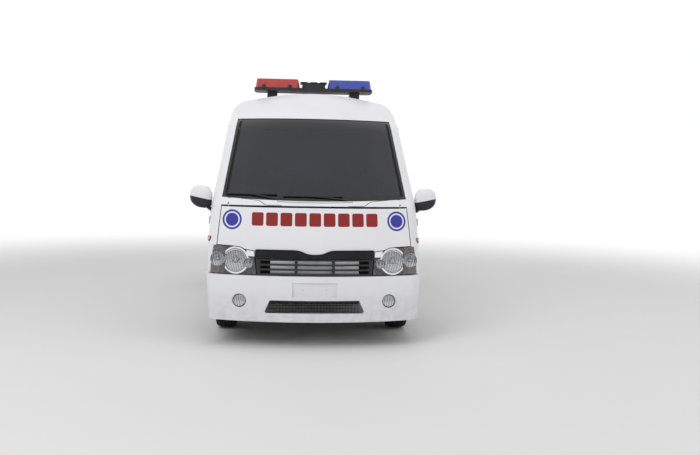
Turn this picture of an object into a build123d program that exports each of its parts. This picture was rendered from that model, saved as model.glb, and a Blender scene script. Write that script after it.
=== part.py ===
"""Forward-control ambulance van with a high roof, as separate pieces at real size.

Millimetres. The front faces -Y, +X is the vehicle's left, +Z is up, and the ground is z = 0.
"""
from build123d import *
import math
import os

os.makedirs("parts", exist_ok=True)

# Overall sizes
LENGTH = 5380
FRONT_OVERHANG = 1010
WHEELBASE = 3110
TRACK = 1630

# Body section, half widths and heights
SILL_HALF = 905
WAIST_HALF = 940
BELT_HALF = 928
EAVE_HALF = 798
SILL_Z = 290
WAIST_Z = 640
BELT_Z = 1130
EAVE_Z = 2185
CROWN_Z = 2325
SKIRT_Z = -400

# Body shell
NOSE_PLAN_RADIUS = 2400
TAIL_PLAN_RADIUS = 5000
FRONT_CORNER_RADIUS = 150
REAR_CORNER_RADIUS = 110
CORNER_EASE = math.radians(7)
WALL = 60
SKIN = 20
FLANGE_DEPTH = 26
FLANGE_WIDTH = 20
GLASS_DEPTH = 5
GLASS_THICKNESS = 5
GLASS_LAP = 15
GLASS_GAP = 3
PANEL_GAP = 7
FIT_GAP = 0.3

# Heights on the body
BUMPER_TOP_Z = 612
FRONT_BUMPER_BOTTOM_Z = 225
REAR_BUMPER_BOTTOM_Z = 330
DOOR_BOTTOM_Z = 625
LAMP_TOP_Z = 862
BONNET_BOTTOM_Z = 760
BONNET_TOP_Z = 1195
SCREEN_BASE_Z = 1290
SCREEN_TOP_Z = 1990
WINDOW_SILL_Z = 1190
WINDOW_TOP_Z = 1845
DOOR_TOP_Z = 1905
ROOF_JOINT_Z = 1930
BOW = 32

# Wheels
TYRE_RADIUS = 347
TYRE_WIDTH = 195
RIM_RADIUS = 190.5
RIM_WALL = 12
RIM_HALF_WIDTH = 88
RIM_LIP = 10
ARCH_RADIUS = 405
SPINDLE_RADIUS = 22
KINGPIN_OFFSET = 60

# Floor levels, each the underside of its sheet
FLOOR_THICKNESS = 30
FOOTWELL_Z = 470
SEAT_DECK_Z = TYRE_RADIUS + ARCH_RADIUS + 8
LOAD_FLOOR_Z = 630

# Frame rails
RAIL_X = 450
RAIL_WIDTH = 70
RAIL_HEIGHT = 110

FRONT_Y = -LENGTH / 2
REAR_Y = LENGTH / 2
FRONT_AXLE_Y = FRONT_Y + FRONT_OVERHANG
REAR_AXLE_Y = FRONT_AXLE_Y + WHEELBASE
WHEEL_X = TRACK / 2
KINGPIN_X = WHEEL_X - KINGPIN_OFFSET
NOSE_AXIS_Y = FRONT_Y + NOSE_PLAN_RADIUS
TAIL_AXIS_Y = REAR_Y - TAIL_PLAN_RADIUS
GLASS_INNER = GLASS_DEPTH + GLASS_THICKNESS

# Half section: half width, height, corner radius
SECTION = [
    (SILL_HALF, SKIRT_Z, 0),
    (SILL_HALF, SILL_Z, 1500),
    (WAIST_HALF, WAIST_Z, 1500),
    (BELT_HALF, BELT_Z, 1200),
    (EAVE_HALF, EAVE_Z, 170),
    (0, CROWN_Z, 2600),
]
BUMPER_STAND_OFF = 8

# The windscreen's line carried down and up to the next bends: setback from the front, height
SCREEN_FOOT = (220, BONNET_TOP_Z)
SCREEN_HEAD = (840, 1950)

# End profiles on the centre line: distance behind the end of the vehicle, height, corner radius
NOSE = [
    (40, SKIRT_Z, 0),
    (40, 560, 900),
    (78, 860, 500),
    (*SCREEN_FOOT, 260),
    (*SCREEN_HEAD, 700),
    (1270, 2225, 900),
    (1640, CROWN_Z + 105, 0),
]
TAIL = [
    (70, SKIRT_Z, 0),
    (70, 250, 1500),
    (45, 600, 1500),
    (80, 1250, 2500),
    (200, 2150, 400),
    (250, CROWN_Z + 105, 0),
]
NOSE_BUMPER = [
    (0, SKIRT_Z, 0),
    (0, 450, 300),
    (28, 640, 300),
    (180, 1100, 0),
]
TAIL_BUMPER = [
    (0, SKIRT_Z, 0),
    (0, 500, 200),
    (25, 640, 200),
    (120, 1100, 0),
]

# Panel outlines seen from the front, on the left half: x, z
FRONT_OPENING = [
    (722, SCREEN_TOP_Z),
    (806, SCREEN_BASE_Z),
    (824, BONNET_TOP_Z),
    (850, LAMP_TOP_Z),
    (850, 100),
]
LAMP_INNER_X = 500
LAMP = [
    (955, LAMP_TOP_Z),
    (715, LAMP_TOP_Z - 10),
    (645, LAMP_TOP_Z - 16),
    (600, LAMP_TOP_Z - 36),
    (520, LAMP_TOP_Z - 46),
    (LAMP_INNER_X, BUMPER_TOP_Z + PANEL_GAP),
    (955, BUMPER_TOP_Z + PANEL_GAP),
]
GRILLE = [
    (LAMP_INNER_X + 6, BONNET_BOTTOM_Z - PANEL_GAP),
    (LAMP_INNER_X - 8, BUMPER_TOP_Z),
]
LAMP_BACK_Y = FRONT_Y + 265
TAILGATE_HALF_BOTTOM = 785
TAILGATE_HALF_TOP = 765
TAILGATE_BOTTOM_Z = 610
TAILGATE_TOP_Z = 1925

# Door and window outlines seen from the left: y, z
DOOR_FRONT_Y = FRONT_Y + 465
DOOR_REAR_Y = FRONT_Y + 1355
CAB_DOOR = [
    (DOOR_FRONT_Y, DOOR_BOTTOM_Z),
    (DOOR_FRONT_Y, BELT_Z),
    (DOOR_FRONT_Y + 95, BELT_Z + 95),
    (DOOR_FRONT_Y + 690, DOOR_TOP_Z),
    (DOOR_REAR_Y, DOOR_TOP_Z),
    (DOOR_REAR_Y, DOOR_BOTTOM_Z - 100),
    (DOOR_FRONT_Y + 300, DOOR_BOTTOM_Z - 100),
    (DOOR_FRONT_Y + 240, DOOR_BOTTOM_Z),
]
CAB_WINDOW = [
    (DOOR_FRONT_Y + 140, WINDOW_SILL_Z),
    (DOOR_REAR_Y - 55, WINDOW_SILL_Z),
    (DOOR_REAR_Y - 55, WINDOW_TOP_Z),
    (DOOR_FRONT_Y + 680, WINDOW_TOP_Z),
]
SLIDER_FRONT_Y = DOOR_REAR_Y + 50
SLIDER_REAR_Y = SLIDER_FRONT_Y + 1180
SLIDER_BOTTOM_Z = 340


def rectangle(y_from, y_to, z_from, z_to):
    """Corners of an upright rectangle."""
    return [(y_from, z_from), (y_to, z_from), (y_to, z_to), (y_from, z_to)]


SLIDING_DOOR = rectangle(SLIDER_FRONT_Y, SLIDER_REAR_Y, SLIDER_BOTTOM_Z, DOOR_TOP_Z)
# Side windows behind the cab: front and rear ends
SIDE_WINDOWS = [
    (SLIDER_FRONT_Y + 95, SLIDER_REAR_Y - 95),
    (SLIDER_REAR_Y + 85, SLIDER_REAR_Y + 1235),
    (SLIDER_REAR_Y + 1335, REAR_Y - 360),
]
WINDOW_CORNER = 45
TAILGATE_WINDOW = [(660, 1250), (620, 1850)]
TAIL_LAMP = [(800, 760), (960, 760), (960, 1160), (800, 1160)]
TAIL_LAMP_FRONT_Y = REAR_Y - 210

# Hinges
HINGE_RADIUS = 7
PIN_RADIUS = 3
EYE_HALF = 15
LUG_LENGTH = 20
HINGE_CLEARANCE = 5.5
DOOR_HINGE_Y = DOOR_FRONT_Y - PANEL_GAP / 2
DOOR_HINGE_HEIGHTS = [700, 1060]
TAILGATE_HINGE_X = 210
BONNET_HINGE_SETBACK = 400
BONNET_HINGE_Z = BONNET_TOP_Z + 10
BONNET_HINGE_X = 760


def mirrored(half):
    """Both halves of an outline given for the left side."""
    return half + [(-x, z) for x, z in reversed(half)]


def section_ring(stand_off):
    """Points and corner radii of the whole body section."""
    half = [(w + stand_off if w else 0, z) for w, z, _ in SECTION]
    ring = half + [(-w, z) for w, z in reversed(half[:-1])]
    radii = [r for _, _, r in SECTION[1:]] + [r for _, _, r in reversed(SECTION[1:-1])]
    return ring, radii


def drawn_in(points, radii, inset):
    """Chain of lines moved to its left by inset, its rounded corners kept concentric."""
    steps = []
    for (x0, z0), (x1, z1) in zip(points, points[1:]):
        length = math.hypot(x1 - x0, z1 - z0)
        along = ((x1 - x0) / length, (z1 - z0) / length)
        steps.append(((x0 - inset * along[1], z0 + inset * along[0]), along, length))
    chain = [steps[0][0]]
    rounds = []
    for (start, along, _), (next_start, next_along, _), radius in zip(steps, steps[1:], radii):
        turn = along[0] * next_along[1] - along[1] * next_along[0]
        gap = (next_start[0] - start[0], next_start[1] - start[1])
        distance = (gap[0] * next_along[1] - gap[1] * next_along[0]) / turn
        chain.append((start[0] + distance * along[0], start[1] + distance * along[1]))
        rounds.append(radius - math.copysign(inset, turn))
    start, along, length = steps[-1]
    chain.append((start[0] + length * along[0], start[1] + length * along[1]))
    return chain, rounds


def end_solid(table, end_y, way, plan_radius, inset):
    """Space behind one bowed end of the body; way is -1 at the nose and 1 at the tail."""
    axis_y = end_y - way * plan_radius
    rows, radii = drawn_in(
        [(plan_radius - setback, z) for setback, z, _ in table], [r for _, _, r in table[1:-1]], inset
    )
    reach = 4000
    middle_z = (SKIRT_Z + rows[-1][1]) / 2
    with BuildPart() as solid:
        with BuildSketch(Plane(origin=(0, axis_y, 0), x_dir=(1, 0, 0), z_dir=(0, -1, 0))):
            with BuildLine():
                FilletPolyline(*rows, radius=radii)
                Polyline(rows[-1], (0, rows[-1][1]), (0, SKIRT_Z), rows[0])
            make_face()
        revolve(axis=Axis((0, axis_y, 0), (0, 0, way)), revolution_arc=180)
        with Locations((0, axis_y - way * reach / 2, middle_z)):
            Box(2.5 * WAIST_HALF, reach, reach)
    return solid.part


def chain_value(points, z):
    """Distance across at a height on a chain of lines, its end lines running on."""
    for (a0, z0), (a1, z1) in zip(points, points[1:]):
        if z <= z1:
            break
    return a0 + (a1 - a0) * (z - z0) / (z1 - z0)


def corner_solid(table, end_y, way, plan_radius, corner_radius, inset, stand_off):
    """Space inside the rounded upright corners at one end, in ruled bands between the rows."""
    axis_y = end_y - way * plan_radius
    rows, radii = drawn_in(
        [(plan_radius - setback, z) for setback, z, _ in table], [r for _, _, r in table[1:-1]], inset
    )
    sides, _ = drawn_in([(w + stand_off, z) for w, z, _ in SECTION[:-1]], [0] * 3, inset)
    radius = corner_radius - inset
    far_y = axis_y - way * 2 * LENGTH
    with BuildPart() as solid:
        for index, (bow_radius, z) in enumerate(rows):
            if 0 < index < len(rows) - 1:
                before = math.atan2(rows[index][0] - rows[index - 1][0], rows[index][1] - rows[index - 1][1])
                after = math.atan2(rows[index + 1][0] - rows[index][0], rows[index + 1][1] - rows[index][1])
                rounding = radii[index - 1] * (1 / math.cos((after - before) / 2) - 1)
                bow_radius -= math.copysign(rounding / math.cos(before), before - after)
            # Above the roof the end draws in to less than the body's width
            centre_x = min(chain_value(sides, z) - radius, 0.95 * (bow_radius - radius))
            from_axis = math.sqrt((bow_radius - radius) ** 2 - centre_x**2)
            start = math.asin(centre_x / (bow_radius - radius)) + CORNER_EASE
            end = math.pi / 2 - CORNER_EASE
            arc = [
                (
                    centre_x + radius * math.sin(angle),
                    axis_y + way * (from_axis + radius * math.cos(angle)),
                )
                for angle in (start, (start + end) / 2, end)
            ]
            tip = (0, arc[0][1] + way * arc[0][0] * math.tan(start))
            far = (arc[2][0] + abs(far_y - arc[2][1]) * math.tan(CORNER_EASE), far_y)
            other = [(-x, y) for x, y in arc]
            with BuildSketch(Plane.XY.offset(z)):
                with BuildLine():
                    Line(tip, arc[0])
                    ThreePointArc(*arc)
                    Polyline(arc[2], far, (-far[0], far_y), other[2])
                    ThreePointArc(*reversed(other))
                    Line(other[0], tip)
                make_face()
        loft(ruled=True)
    return solid.part


def body_form(inset, nose=NOSE, tail=TAIL, stand_off=0):
    """Closed outer form of the body, drawn in by inset."""
    ring, radii = drawn_in(*section_ring(stand_off), inset)
    ends = [
        end_solid(nose, FRONT_Y, -1, NOSE_PLAN_RADIUS, inset),
        end_solid(tail, REAR_Y, 1, TAIL_PLAN_RADIUS, inset),
        corner_solid(nose, FRONT_Y, -1, NOSE_PLAN_RADIUS, FRONT_CORNER_RADIUS, inset, stand_off),
        corner_solid(tail, REAR_Y, 1, TAIL_PLAN_RADIUS, REAR_CORNER_RADIUS, inset, stand_off),
    ]
    with BuildPart() as form:
        with BuildSketch(Plane.XZ):
            with BuildLine():
                FilletPolyline(*ring, radius=radii)
                Line(ring[-1], ring[0])
            make_face()
        extrude(amount=LENGTH, both=True)
        for end in ends:
            add(end, mode=Mode.INTERSECT)
    return form.part


LAYERS = (0, GLASS_DEPTH, GLASS_INNER, SKIN, FLANGE_DEPTH, WALL, WALL + FIT_GAP)
FORM = {depth: body_form(depth) for depth in LAYERS}
INTERIOR = FORM[WALL + FIT_GAP]


def side_block(outline, x_from, x_to, grow=0, corner=0):
    """Outline seen from the side made solid between two x planes."""
    with BuildPart() as block:
        with BuildSketch(Plane.YZ.offset(x_from)):
            with BuildLine():
                if corner:
                    FilletPolyline(*outline, radius=corner, close=True)
                else:
                    Polyline(*outline, close=True)
            make_face()
            if grow:
                offset(amount=grow, kind=Kind.INTERSECTION)
        extrude(amount=x_to - x_from)
    return block.part


def front_block(outline, y_from, y_to, grow=0, corner=0):
    """Outline seen from the front made solid between two y planes."""
    with BuildPart() as block:
        with BuildSketch(Plane.XZ.offset(-y_from)):
            with BuildLine():
                if corner:
                    FilletPolyline(*outline, radius=corner, close=True)
                else:
                    Polyline(*outline, close=True)
            make_face()
            if grow:
                offset(amount=grow, kind=Kind.INTERSECTION)
        extrude(amount=y_from - y_to)
    return block.part


def bowed_block(half_width, base_z, top_z, grow=0, base_dip=BOW, top_dip=BOW):
    """Front block between two lines that dip at the centre, or stay level."""
    with BuildPart() as block:
        with BuildSketch(Plane.XZ.offset(-CAB_BACK_Y)):
            with BuildLine():
                for z, dip in ((base_z, base_dip), (top_z, top_dip)):
                    if dip:
                        ThreePointArc((-half_width, z), (0, z - dip), (half_width, z))
                    else:
                        Line((-half_width, z), (half_width, z))
                for x in (-half_width, half_width):
                    Line((x, base_z), (x, top_z))
            make_face()
            if grow:
                offset(amount=grow, kind=Kind.INTERSECTION)
        extrude(amount=CAB_BACK_Y - FAR_FRONT_Y)
    return block.part


def cuboid(x_from, x_to, y_from, y_to, z_from, z_to):
    """Box between pairs of planes."""
    with BuildPart() as box:
        with Locations(((x_from + x_to) / 2, (y_from + y_to) / 2, (z_from + z_to) / 2)):
            Box(x_to - x_from, y_to - y_from, z_to - z_from)
    return box.part


def rod(start, end, radius, bore=0):
    """Round bar, or a tube where a bore is given, between two points."""
    line = Vector(*end) - Vector(*start)
    with BuildPart() as bar:
        with BuildSketch(Plane(origin=start, z_dir=line)):
            Circle(radius)
            if bore:
                Circle(bore, mode=Mode.SUBTRACT)
        extrude(amount=line.length)
    return bar.part


def strut(start, end, width, depth):
    """Rectangular bar between two points, its width across the vehicle's length."""
    line = Vector(*end) - Vector(*start)
    with BuildPart() as bar:
        with BuildSketch(Plane(origin=start, x_dir=(0, 1, 0), z_dir=line)):
            Rectangle(width, depth)
        extrude(amount=line.length)
    return bar.part


def layer(block, outer, inner, cuts=()):
    """Part of a block between two depths below the body's surface."""
    with BuildPart() as piece:
        add(block)
        add(FORM[outer], mode=Mode.INTERSECT)
        add(FORM[inner], mode=Mode.SUBTRACT)
        for cut in cuts:
            add(cut, mode=Mode.SUBTRACT)
    return piece.part


def below_surface(block, depth):
    """Part of a block outside the form at a depth, for cutting a rebate."""
    with BuildPart() as cut:
        add(block)
        add(FORM[depth], mode=Mode.SUBTRACT)
    return cut.part


def hinge_set(line, places, fixed_side):
    """Barrels along the z axis of a plane: lugs with their pins, or the eyes between them."""
    with BuildPart() as barrels:
        for place in places:
            if fixed_side:
                with BuildSketch(line.offset(place - EYE_HALF - FIT_GAP - LUG_LENGTH)):
                    Circle(HINGE_RADIUS)
                extrude(amount=LUG_LENGTH)
                with BuildSketch(line.offset(place + EYE_HALF + FIT_GAP)):
                    Circle(HINGE_RADIUS)
                extrude(amount=LUG_LENGTH)
                with BuildSketch(line.offset(place - EYE_HALF - LUG_LENGTH)):
                    Circle(PIN_RADIUS)
                extrude(amount=2 * (EYE_HALF + LUG_LENGTH))
            else:
                with BuildSketch(line.offset(place - EYE_HALF)):
                    Circle(HINGE_RADIUS)
                    Circle(PIN_RADIUS + FIT_GAP, mode=Mode.SUBTRACT)
                extrude(amount=2 * EYE_HALF)
    return barrels.part


def hinge_room(line, places, fixed_side):
    """Space that one side of a hinge leaves for the barrels of the other."""
    radius = HINGE_RADIUS + HINGE_CLEARANCE
    lug_end = EYE_HALF + LUG_LENGTH + HINGE_CLEARANCE
    with BuildPart() as room:
        for place in places:
            if fixed_side:
                with BuildSketch(line.offset(place - EYE_HALF - HINGE_CLEARANCE / 2)):
                    Circle(radius)
                extrude(amount=2 * EYE_HALF + HINGE_CLEARANCE)
            else:
                with BuildSketch(line.offset(place - lug_end)):
                    Circle(radius)
                extrude(amount=lug_end - EYE_HALF + HINGE_CLEARANCE)
                with BuildSketch(line.offset(place + EYE_HALF - HINGE_CLEARANCE)):
                    Circle(radius)
                extrude(amount=lug_end - EYE_HALF + HINGE_CLEARANCE)
                with BuildSketch(line.offset(place - EYE_HALF)):
                    Circle(PIN_RADIUS + FIT_GAP)
                extrude(amount=2 * EYE_HALF)
    return room.part


def save(part, name):
    """Label a finished piece and write it."""
    part.label = name
    export_step(part, f"parts/{name}.step")


# Openings in the body shell
CAB_BACK_Y = FRONT_Y + 1390
FAR_FRONT_Y = FRONT_Y - 100
FAR_SIDE_X = WAIST_HALF + 100
SIDE_IN_X = EAVE_HALF - WALL - 100

front_opening = front_block(mirrored(FRONT_OPENING), CAB_BACK_Y, FAR_FRONT_Y)
bonnet_opening = front_block(mirrored(FRONT_OPENING), CAB_BACK_Y, FAR_FRONT_Y, -PANEL_GAP)
cowl_space = bowed_block(WAIST_HALF, BONNET_TOP_Z + PANEL_GAP, SCREEN_BASE_Z, base_dip=0)
lamp_block = front_block(LAMP, LAMP_BACK_Y, FAR_FRONT_Y)
lamp_room = front_block(LAMP, LAMP_BACK_Y + PANEL_GAP, FAR_FRONT_Y, PANEL_GAP)
arch_x = WHEEL_X - TYRE_WIDTH / 2 - 100
front_arch = rod((arch_x, FRONT_AXLE_Y, TYRE_RADIUS), (FAR_SIDE_X, FRONT_AXLE_Y, TYRE_RADIUS), ARCH_RADIUS)
rear_arch = rod((arch_x, REAR_AXLE_Y, TYRE_RADIUS), (FAR_SIDE_X, REAR_AXLE_Y, TYRE_RADIUS), ARCH_RADIUS)
front_bumper_space = cuboid(0, FAR_SIDE_X, FAR_FRONT_Y, FRONT_AXLE_Y, 0, BUMPER_TOP_Z + PANEL_GAP)
REAR_BUMPER_FRONT_Y = REAR_Y - 445
rear_bumper_space = cuboid(
    0, FAR_SIDE_X, REAR_BUMPER_FRONT_Y - PANEL_GAP, REAR_Y + 100, 0, TAILGATE_BOTTOM_Z - PANEL_GAP
)

with BuildPart() as screen_seat:
    add(front_block(mirrored(FRONT_OPENING), CAB_BACK_Y, FAR_FRONT_Y, GLASS_LAP))
    add(bowed_block(WAIST_HALF, SCREEN_BASE_Z, SCREEN_TOP_Z + BOW, GLASS_LAP), mode=Mode.INTERSECT)
with BuildPart() as screen_pane:
    add(front_block(mirrored(FRONT_OPENING), CAB_BACK_Y, FAR_FRONT_Y, GLASS_LAP - GLASS_GAP))
    add(
        bowed_block(WAIST_HALF, SCREEN_BASE_Z, SCREEN_TOP_Z + BOW, GLASS_LAP - GLASS_GAP),
        mode=Mode.INTERSECT,
    )
screen_rebate = below_surface(screen_seat.part, GLASS_INNER)

tailgate_outline = mirrored(
    [(TAILGATE_HALF_TOP, TAILGATE_TOP_Z), (TAILGATE_HALF_BOTTOM, TAILGATE_BOTTOM_Z)]
)
tail_front_y = REAR_Y - 400
FAR_REAR_Y = REAR_Y + 100


def rear_block(outline, grow=0, corner=0):
    """Outline seen from behind made solid through the tail wall."""
    return front_block(outline, FAR_REAR_Y, tail_front_y, grow, corner)


tail_lamp_block = front_block(TAIL_LAMP, FAR_REAR_Y, TAIL_LAMP_FRONT_Y)


def panel_opening(block_of, outline, outer_grow):
    """Cuts for a panel set on an inner flange: full size outside, smaller inside."""
    outside = below_surface(block_of(outline, grow=outer_grow), FLANGE_DEPTH)
    inside = block_of(outline, grow=outer_grow - FLANGE_WIDTH)
    return [outside, inside]


def left_block(outline, grow=0, corner=0):
    """Side block through the left wall."""
    return side_block(outline, SIDE_IN_X, FAR_SIDE_X, grow, corner)


def window_cuts(block_of, outline):
    """Opening of a window and the rebate its pane lies in."""
    pane_seat = below_surface(block_of(outline, grow=GLASS_LAP, corner=WINDOW_CORNER), GLASS_INNER)
    return [block_of(outline, corner=WINDOW_CORNER), pane_seat]


def pane(block_of, outline):
    """Pane that laps its opening."""
    return layer(
        block_of(outline, grow=GLASS_LAP - GLASS_GAP, corner=WINDOW_CORNER), GLASS_DEPTH, GLASS_INNER
    )


side_windows = [rectangle(a, b, WINDOW_SILL_Z, WINDOW_TOP_Z) for a, b in SIDE_WINDOWS]
cab_door_cuts = panel_opening(left_block, CAB_DOOR, PANEL_GAP)
slider_cuts = panel_opening(left_block, SLIDING_DOOR, PANEL_GAP)
tailgate_cuts = panel_opening(rear_block, tailgate_outline, PANEL_GAP)
window_cut_sets = [window_cuts(left_block, outline) for outline in side_windows]

# The cab door turns about a line on the skin, leaning in with it
skin_lean = (WAIST_HALF - BELT_HALF) / (BELT_Z - WAIST_Z)
door_hinge_origin = (WAIST_HALF + skin_lean * WAIST_Z, DOOR_HINGE_Y, 0)
door_hinge_line = Plane(origin=door_hinge_origin, x_dir=(0, 1, 0), z_dir=(-skin_lean, 0, 1))
tail_hinge_y = REAR_Y - 170
tail_hinge_z = (TAILGATE_TOP_Z + ROOF_JOINT_Z) / 2
tail_hinge_line = Plane(origin=(0, tail_hinge_y, tail_hinge_z), x_dir=(0, 1, 0), z_dir=(1, 0, 0))
tail_hinge_places = [-TAILGATE_HINGE_X, TAILGATE_HINGE_X]

# Left side wall, common to both sides before the sliding door is cut
with BuildPart() as half_wall:
    add(FORM[0])
    split(bisect_by=Plane.YZ, keep=Keep.TOP)
    split(bisect_by=Plane.XY.offset(SILL_Z), keep=Keep.TOP)
    split(bisect_by=Plane.XY.offset(ROOF_JOINT_Z), keep=Keep.BOTTOM)
    add(FORM[WALL], mode=Mode.SUBTRACT)
    for cut in [front_opening, screen_rebate, lamp_block, front_arch, rear_arch]:
        add(cut, mode=Mode.SUBTRACT)
    for cut in [front_bumper_space, rear_bumper_space, tail_lamp_block]:
        add(cut, mode=Mode.SUBTRACT)
    for cut in cab_door_cuts + tailgate_cuts + window_cut_sets[1] + window_cut_sets[2]:
        add(cut, mode=Mode.SUBTRACT)
    add(hinge_room(door_hinge_line, DOOR_HINGE_HEIGHTS, True), mode=Mode.SUBTRACT)
    add(hinge_set(door_hinge_line, DOOR_HINGE_HEIGHTS, True))

with BuildPart() as side_left:
    add(half_wall.part)
    for cut in slider_cuts:
        add(cut, mode=Mode.SUBTRACT)
save(side_left.part, "side_left")

with BuildPart() as left_copy:
    add(half_wall.part)
    for cut in window_cut_sets[0]:
        add(cut, mode=Mode.SUBTRACT)
with BuildPart() as side_right:
    mirror(left_copy.part, about=Plane.YZ)
save(side_right.part, "side_right")

with BuildPart() as roof:
    add(FORM[0])
    split(bisect_by=Plane.XY.offset(ROOF_JOINT_Z), keep=Keep.TOP)
    add(FORM[WALL], mode=Mode.SUBTRACT)
    add(front_opening, mode=Mode.SUBTRACT)
    add(screen_rebate, mode=Mode.SUBTRACT)
    add(hinge_room(tail_hinge_line, tail_hinge_places, True), mode=Mode.SUBTRACT)
    add(hinge_set(tail_hinge_line, tail_hinge_places, True))
save(roof.part, "roof")

# Glass
save(layer(screen_pane.part, GLASS_DEPTH, GLASS_INNER), "windscreen")
left_panes = [pane(left_block, outline) for outline in side_windows]

PARTITION_WINDOW = mirrored([(360, 1620), (360, 1290)])
DECK_BACK_Y = SLIDER_FRONT_Y + 30
with BuildPart() as fixed_windows:
    for one in left_panes:
        add(one)
        mirror(one, about=Plane.YZ)
    add(front_block(PARTITION_WINDOW, DECK_BACK_Y + 18, DECK_BACK_Y + 12, corner=40))
save(fixed_windows.part, "fixed_windows")


def panel(block_of, outline, windows, extra_cuts=()):
    """Panel on a flange: an outer skin at full size and a smaller inner depth."""
    cuts = [cut for window in windows for cut in window_cuts(block_of, window)] + list(extra_cuts)
    outer = layer(block_of(outline), 0, SKIN, cuts)
    inner = layer(block_of(outline, grow=-FLANGE_WIDTH), SKIN, WALL, cuts)
    return outer, inner


# Sliding side door
slider_outer, slider_inner = panel(left_block, SLIDING_DOOR, [side_windows[0]])
with BuildPart() as sliding_door:
    add(slider_outer)
    add(slider_inner)
save(sliding_door.part, "sliding_door")

# Cab doors
HANDLE_LENGTH = 170
HANDLE_Z = 1075
door_outer, door_inner = panel(left_block, CAB_DOOR, [CAB_WINDOW], [front_arch])
handle_y = DOOR_REAR_Y - 60 - HANDLE_LENGTH
with BuildPart() as door_left:
    add(door_outer)
    add(door_inner)
    add(hinge_room(door_hinge_line, DOOR_HINGE_HEIGHTS, False), mode=Mode.SUBTRACT)
    add(hinge_set(door_hinge_line, DOOR_HINGE_HEIGHTS, False))
    with BuildSketch(Plane.YZ.offset(BELT_HALF - SKIN)):
        with Locations((handle_y + HANDLE_LENGTH / 2, HANDLE_Z)):
            RectangleRounded(HANDLE_LENGTH, 34, 16)
    extrude(amount=SKIN + 24)
save(door_left.part, "door_left")
with BuildPart() as door_right:
    mirror(door_left.part, about=Plane.YZ)
save(door_right.part, "door_right")
door_glass = pane(left_block, CAB_WINDOW)
save(door_glass, "door_glass_left")
with BuildPart() as door_glass_right:
    mirror(door_glass, about=Plane.YZ)
save(door_glass_right.part, "door_glass_right")

# Tailgate
gate_outer, gate_inner = panel(rear_block, tailgate_outline, [mirrored(TAILGATE_WINDOW)])
with BuildPart() as tailgate:
    add(gate_outer)
    add(gate_inner)
    add(hinge_room(tail_hinge_line, tail_hinge_places, False), mode=Mode.SUBTRACT)
    add(hinge_set(tail_hinge_line, tail_hinge_places, False))
save(tailgate.part, "tailgate")
save(pane(rear_block, mirrored(TAILGATE_WINDOW)), "tailgate_glass")

# Cowl panel, slotted for the bonnet's hinge arms, with a pin across each slot
bonnet_hinge_y = FRONT_Y + BONNET_HINGE_SETBACK
ARM = 10
ARM_HALF_DEPTH = 6
ARM_DROP = 90
ARM_REACH = 68
ARM_FOOT = 14
SLOT_GAP = 2
SLOT_FRONT = 30
SLOT_RISE = 17
BONNET_PIN_RADIUS = 5
BONNET_PIN_SEAT = 8
EYE_RADIUS = 11
hinge_xs = (-BONNET_HINGE_X, BONNET_HINGE_X)
with BuildPart() as cowl_panel:
    add(front_opening)
    add(cowl_space, mode=Mode.INTERSECT)
    add(FORM[0], mode=Mode.INTERSECT)
    add(FORM[WALL], mode=Mode.SUBTRACT)
    add(screen_rebate, mode=Mode.SUBTRACT)
    split(bisect_by=Plane.XZ.offset(-(DOOR_FRONT_Y - 15)), keep=Keep.TOP)
    for x in hinge_xs:
        slot_half = ARM / 2 + SLOT_GAP
        slot_front_y = bonnet_hinge_y - SLOT_FRONT
        slot_top_z = BONNET_HINGE_Z + SLOT_RISE
        add(
            cuboid(
                x - slot_half, x + slot_half, slot_front_y, CAB_BACK_Y, BONNET_TOP_Z, slot_top_z
            ),
            mode=Mode.SUBTRACT,
        )
        pin_end = slot_half + BONNET_PIN_SEAT
        add(
            rod(
                (x - pin_end, bonnet_hinge_y, BONNET_HINGE_Z),
                (x + pin_end, bonnet_hinge_y, BONNET_HINGE_Z),
                BONNET_PIN_RADIUS,
            )
        )
save(cowl_panel.part, "cowl_panel")

# Bonnet, its top edge bevelled along the swing about the hinge line
bonnet_half = FRONT_OPENING[2][0]
edge_plan_radius = NOSE_PLAN_RADIUS - SCREEN_FOOT[0]
edge_front_y = NOSE_AXIS_Y - edge_plan_radius
edge_side_y = NOSE_AXIS_Y - math.sqrt(edge_plan_radius**2 - bonnet_half**2)
edge_drop = BONNET_HINGE_Z - BONNET_TOP_Z
SWING_SPARE = 3
swing_mid = math.hypot(bonnet_hinge_y - edge_front_y, edge_drop) + SWING_SPARE
swing_end = math.hypot(bonnet_hinge_y - edge_side_y, edge_drop) + SWING_SPARE
bonnet_hinge_point = (0, bonnet_hinge_y, BONNET_HINGE_Z)
with BuildPart() as swing:
    with BuildSketch(Plane(origin=bonnet_hinge_point, x_dir=(1, 0, 0), z_dir=(0, 0, 1))):
        with BuildLine():
            ThreePointArc((-bonnet_half, -swing_end), (0, -swing_mid), (bonnet_half, -swing_end))
            Line((bonnet_half, -swing_end), (bonnet_half, 0))
            Line((bonnet_half, 0), (-bonnet_half, 0))
            Line((-bonnet_half, 0), (-bonnet_half, -swing_end))
        make_face()
    revolve(axis=Axis(bonnet_hinge_point, (1, 0, 0)))
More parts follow.
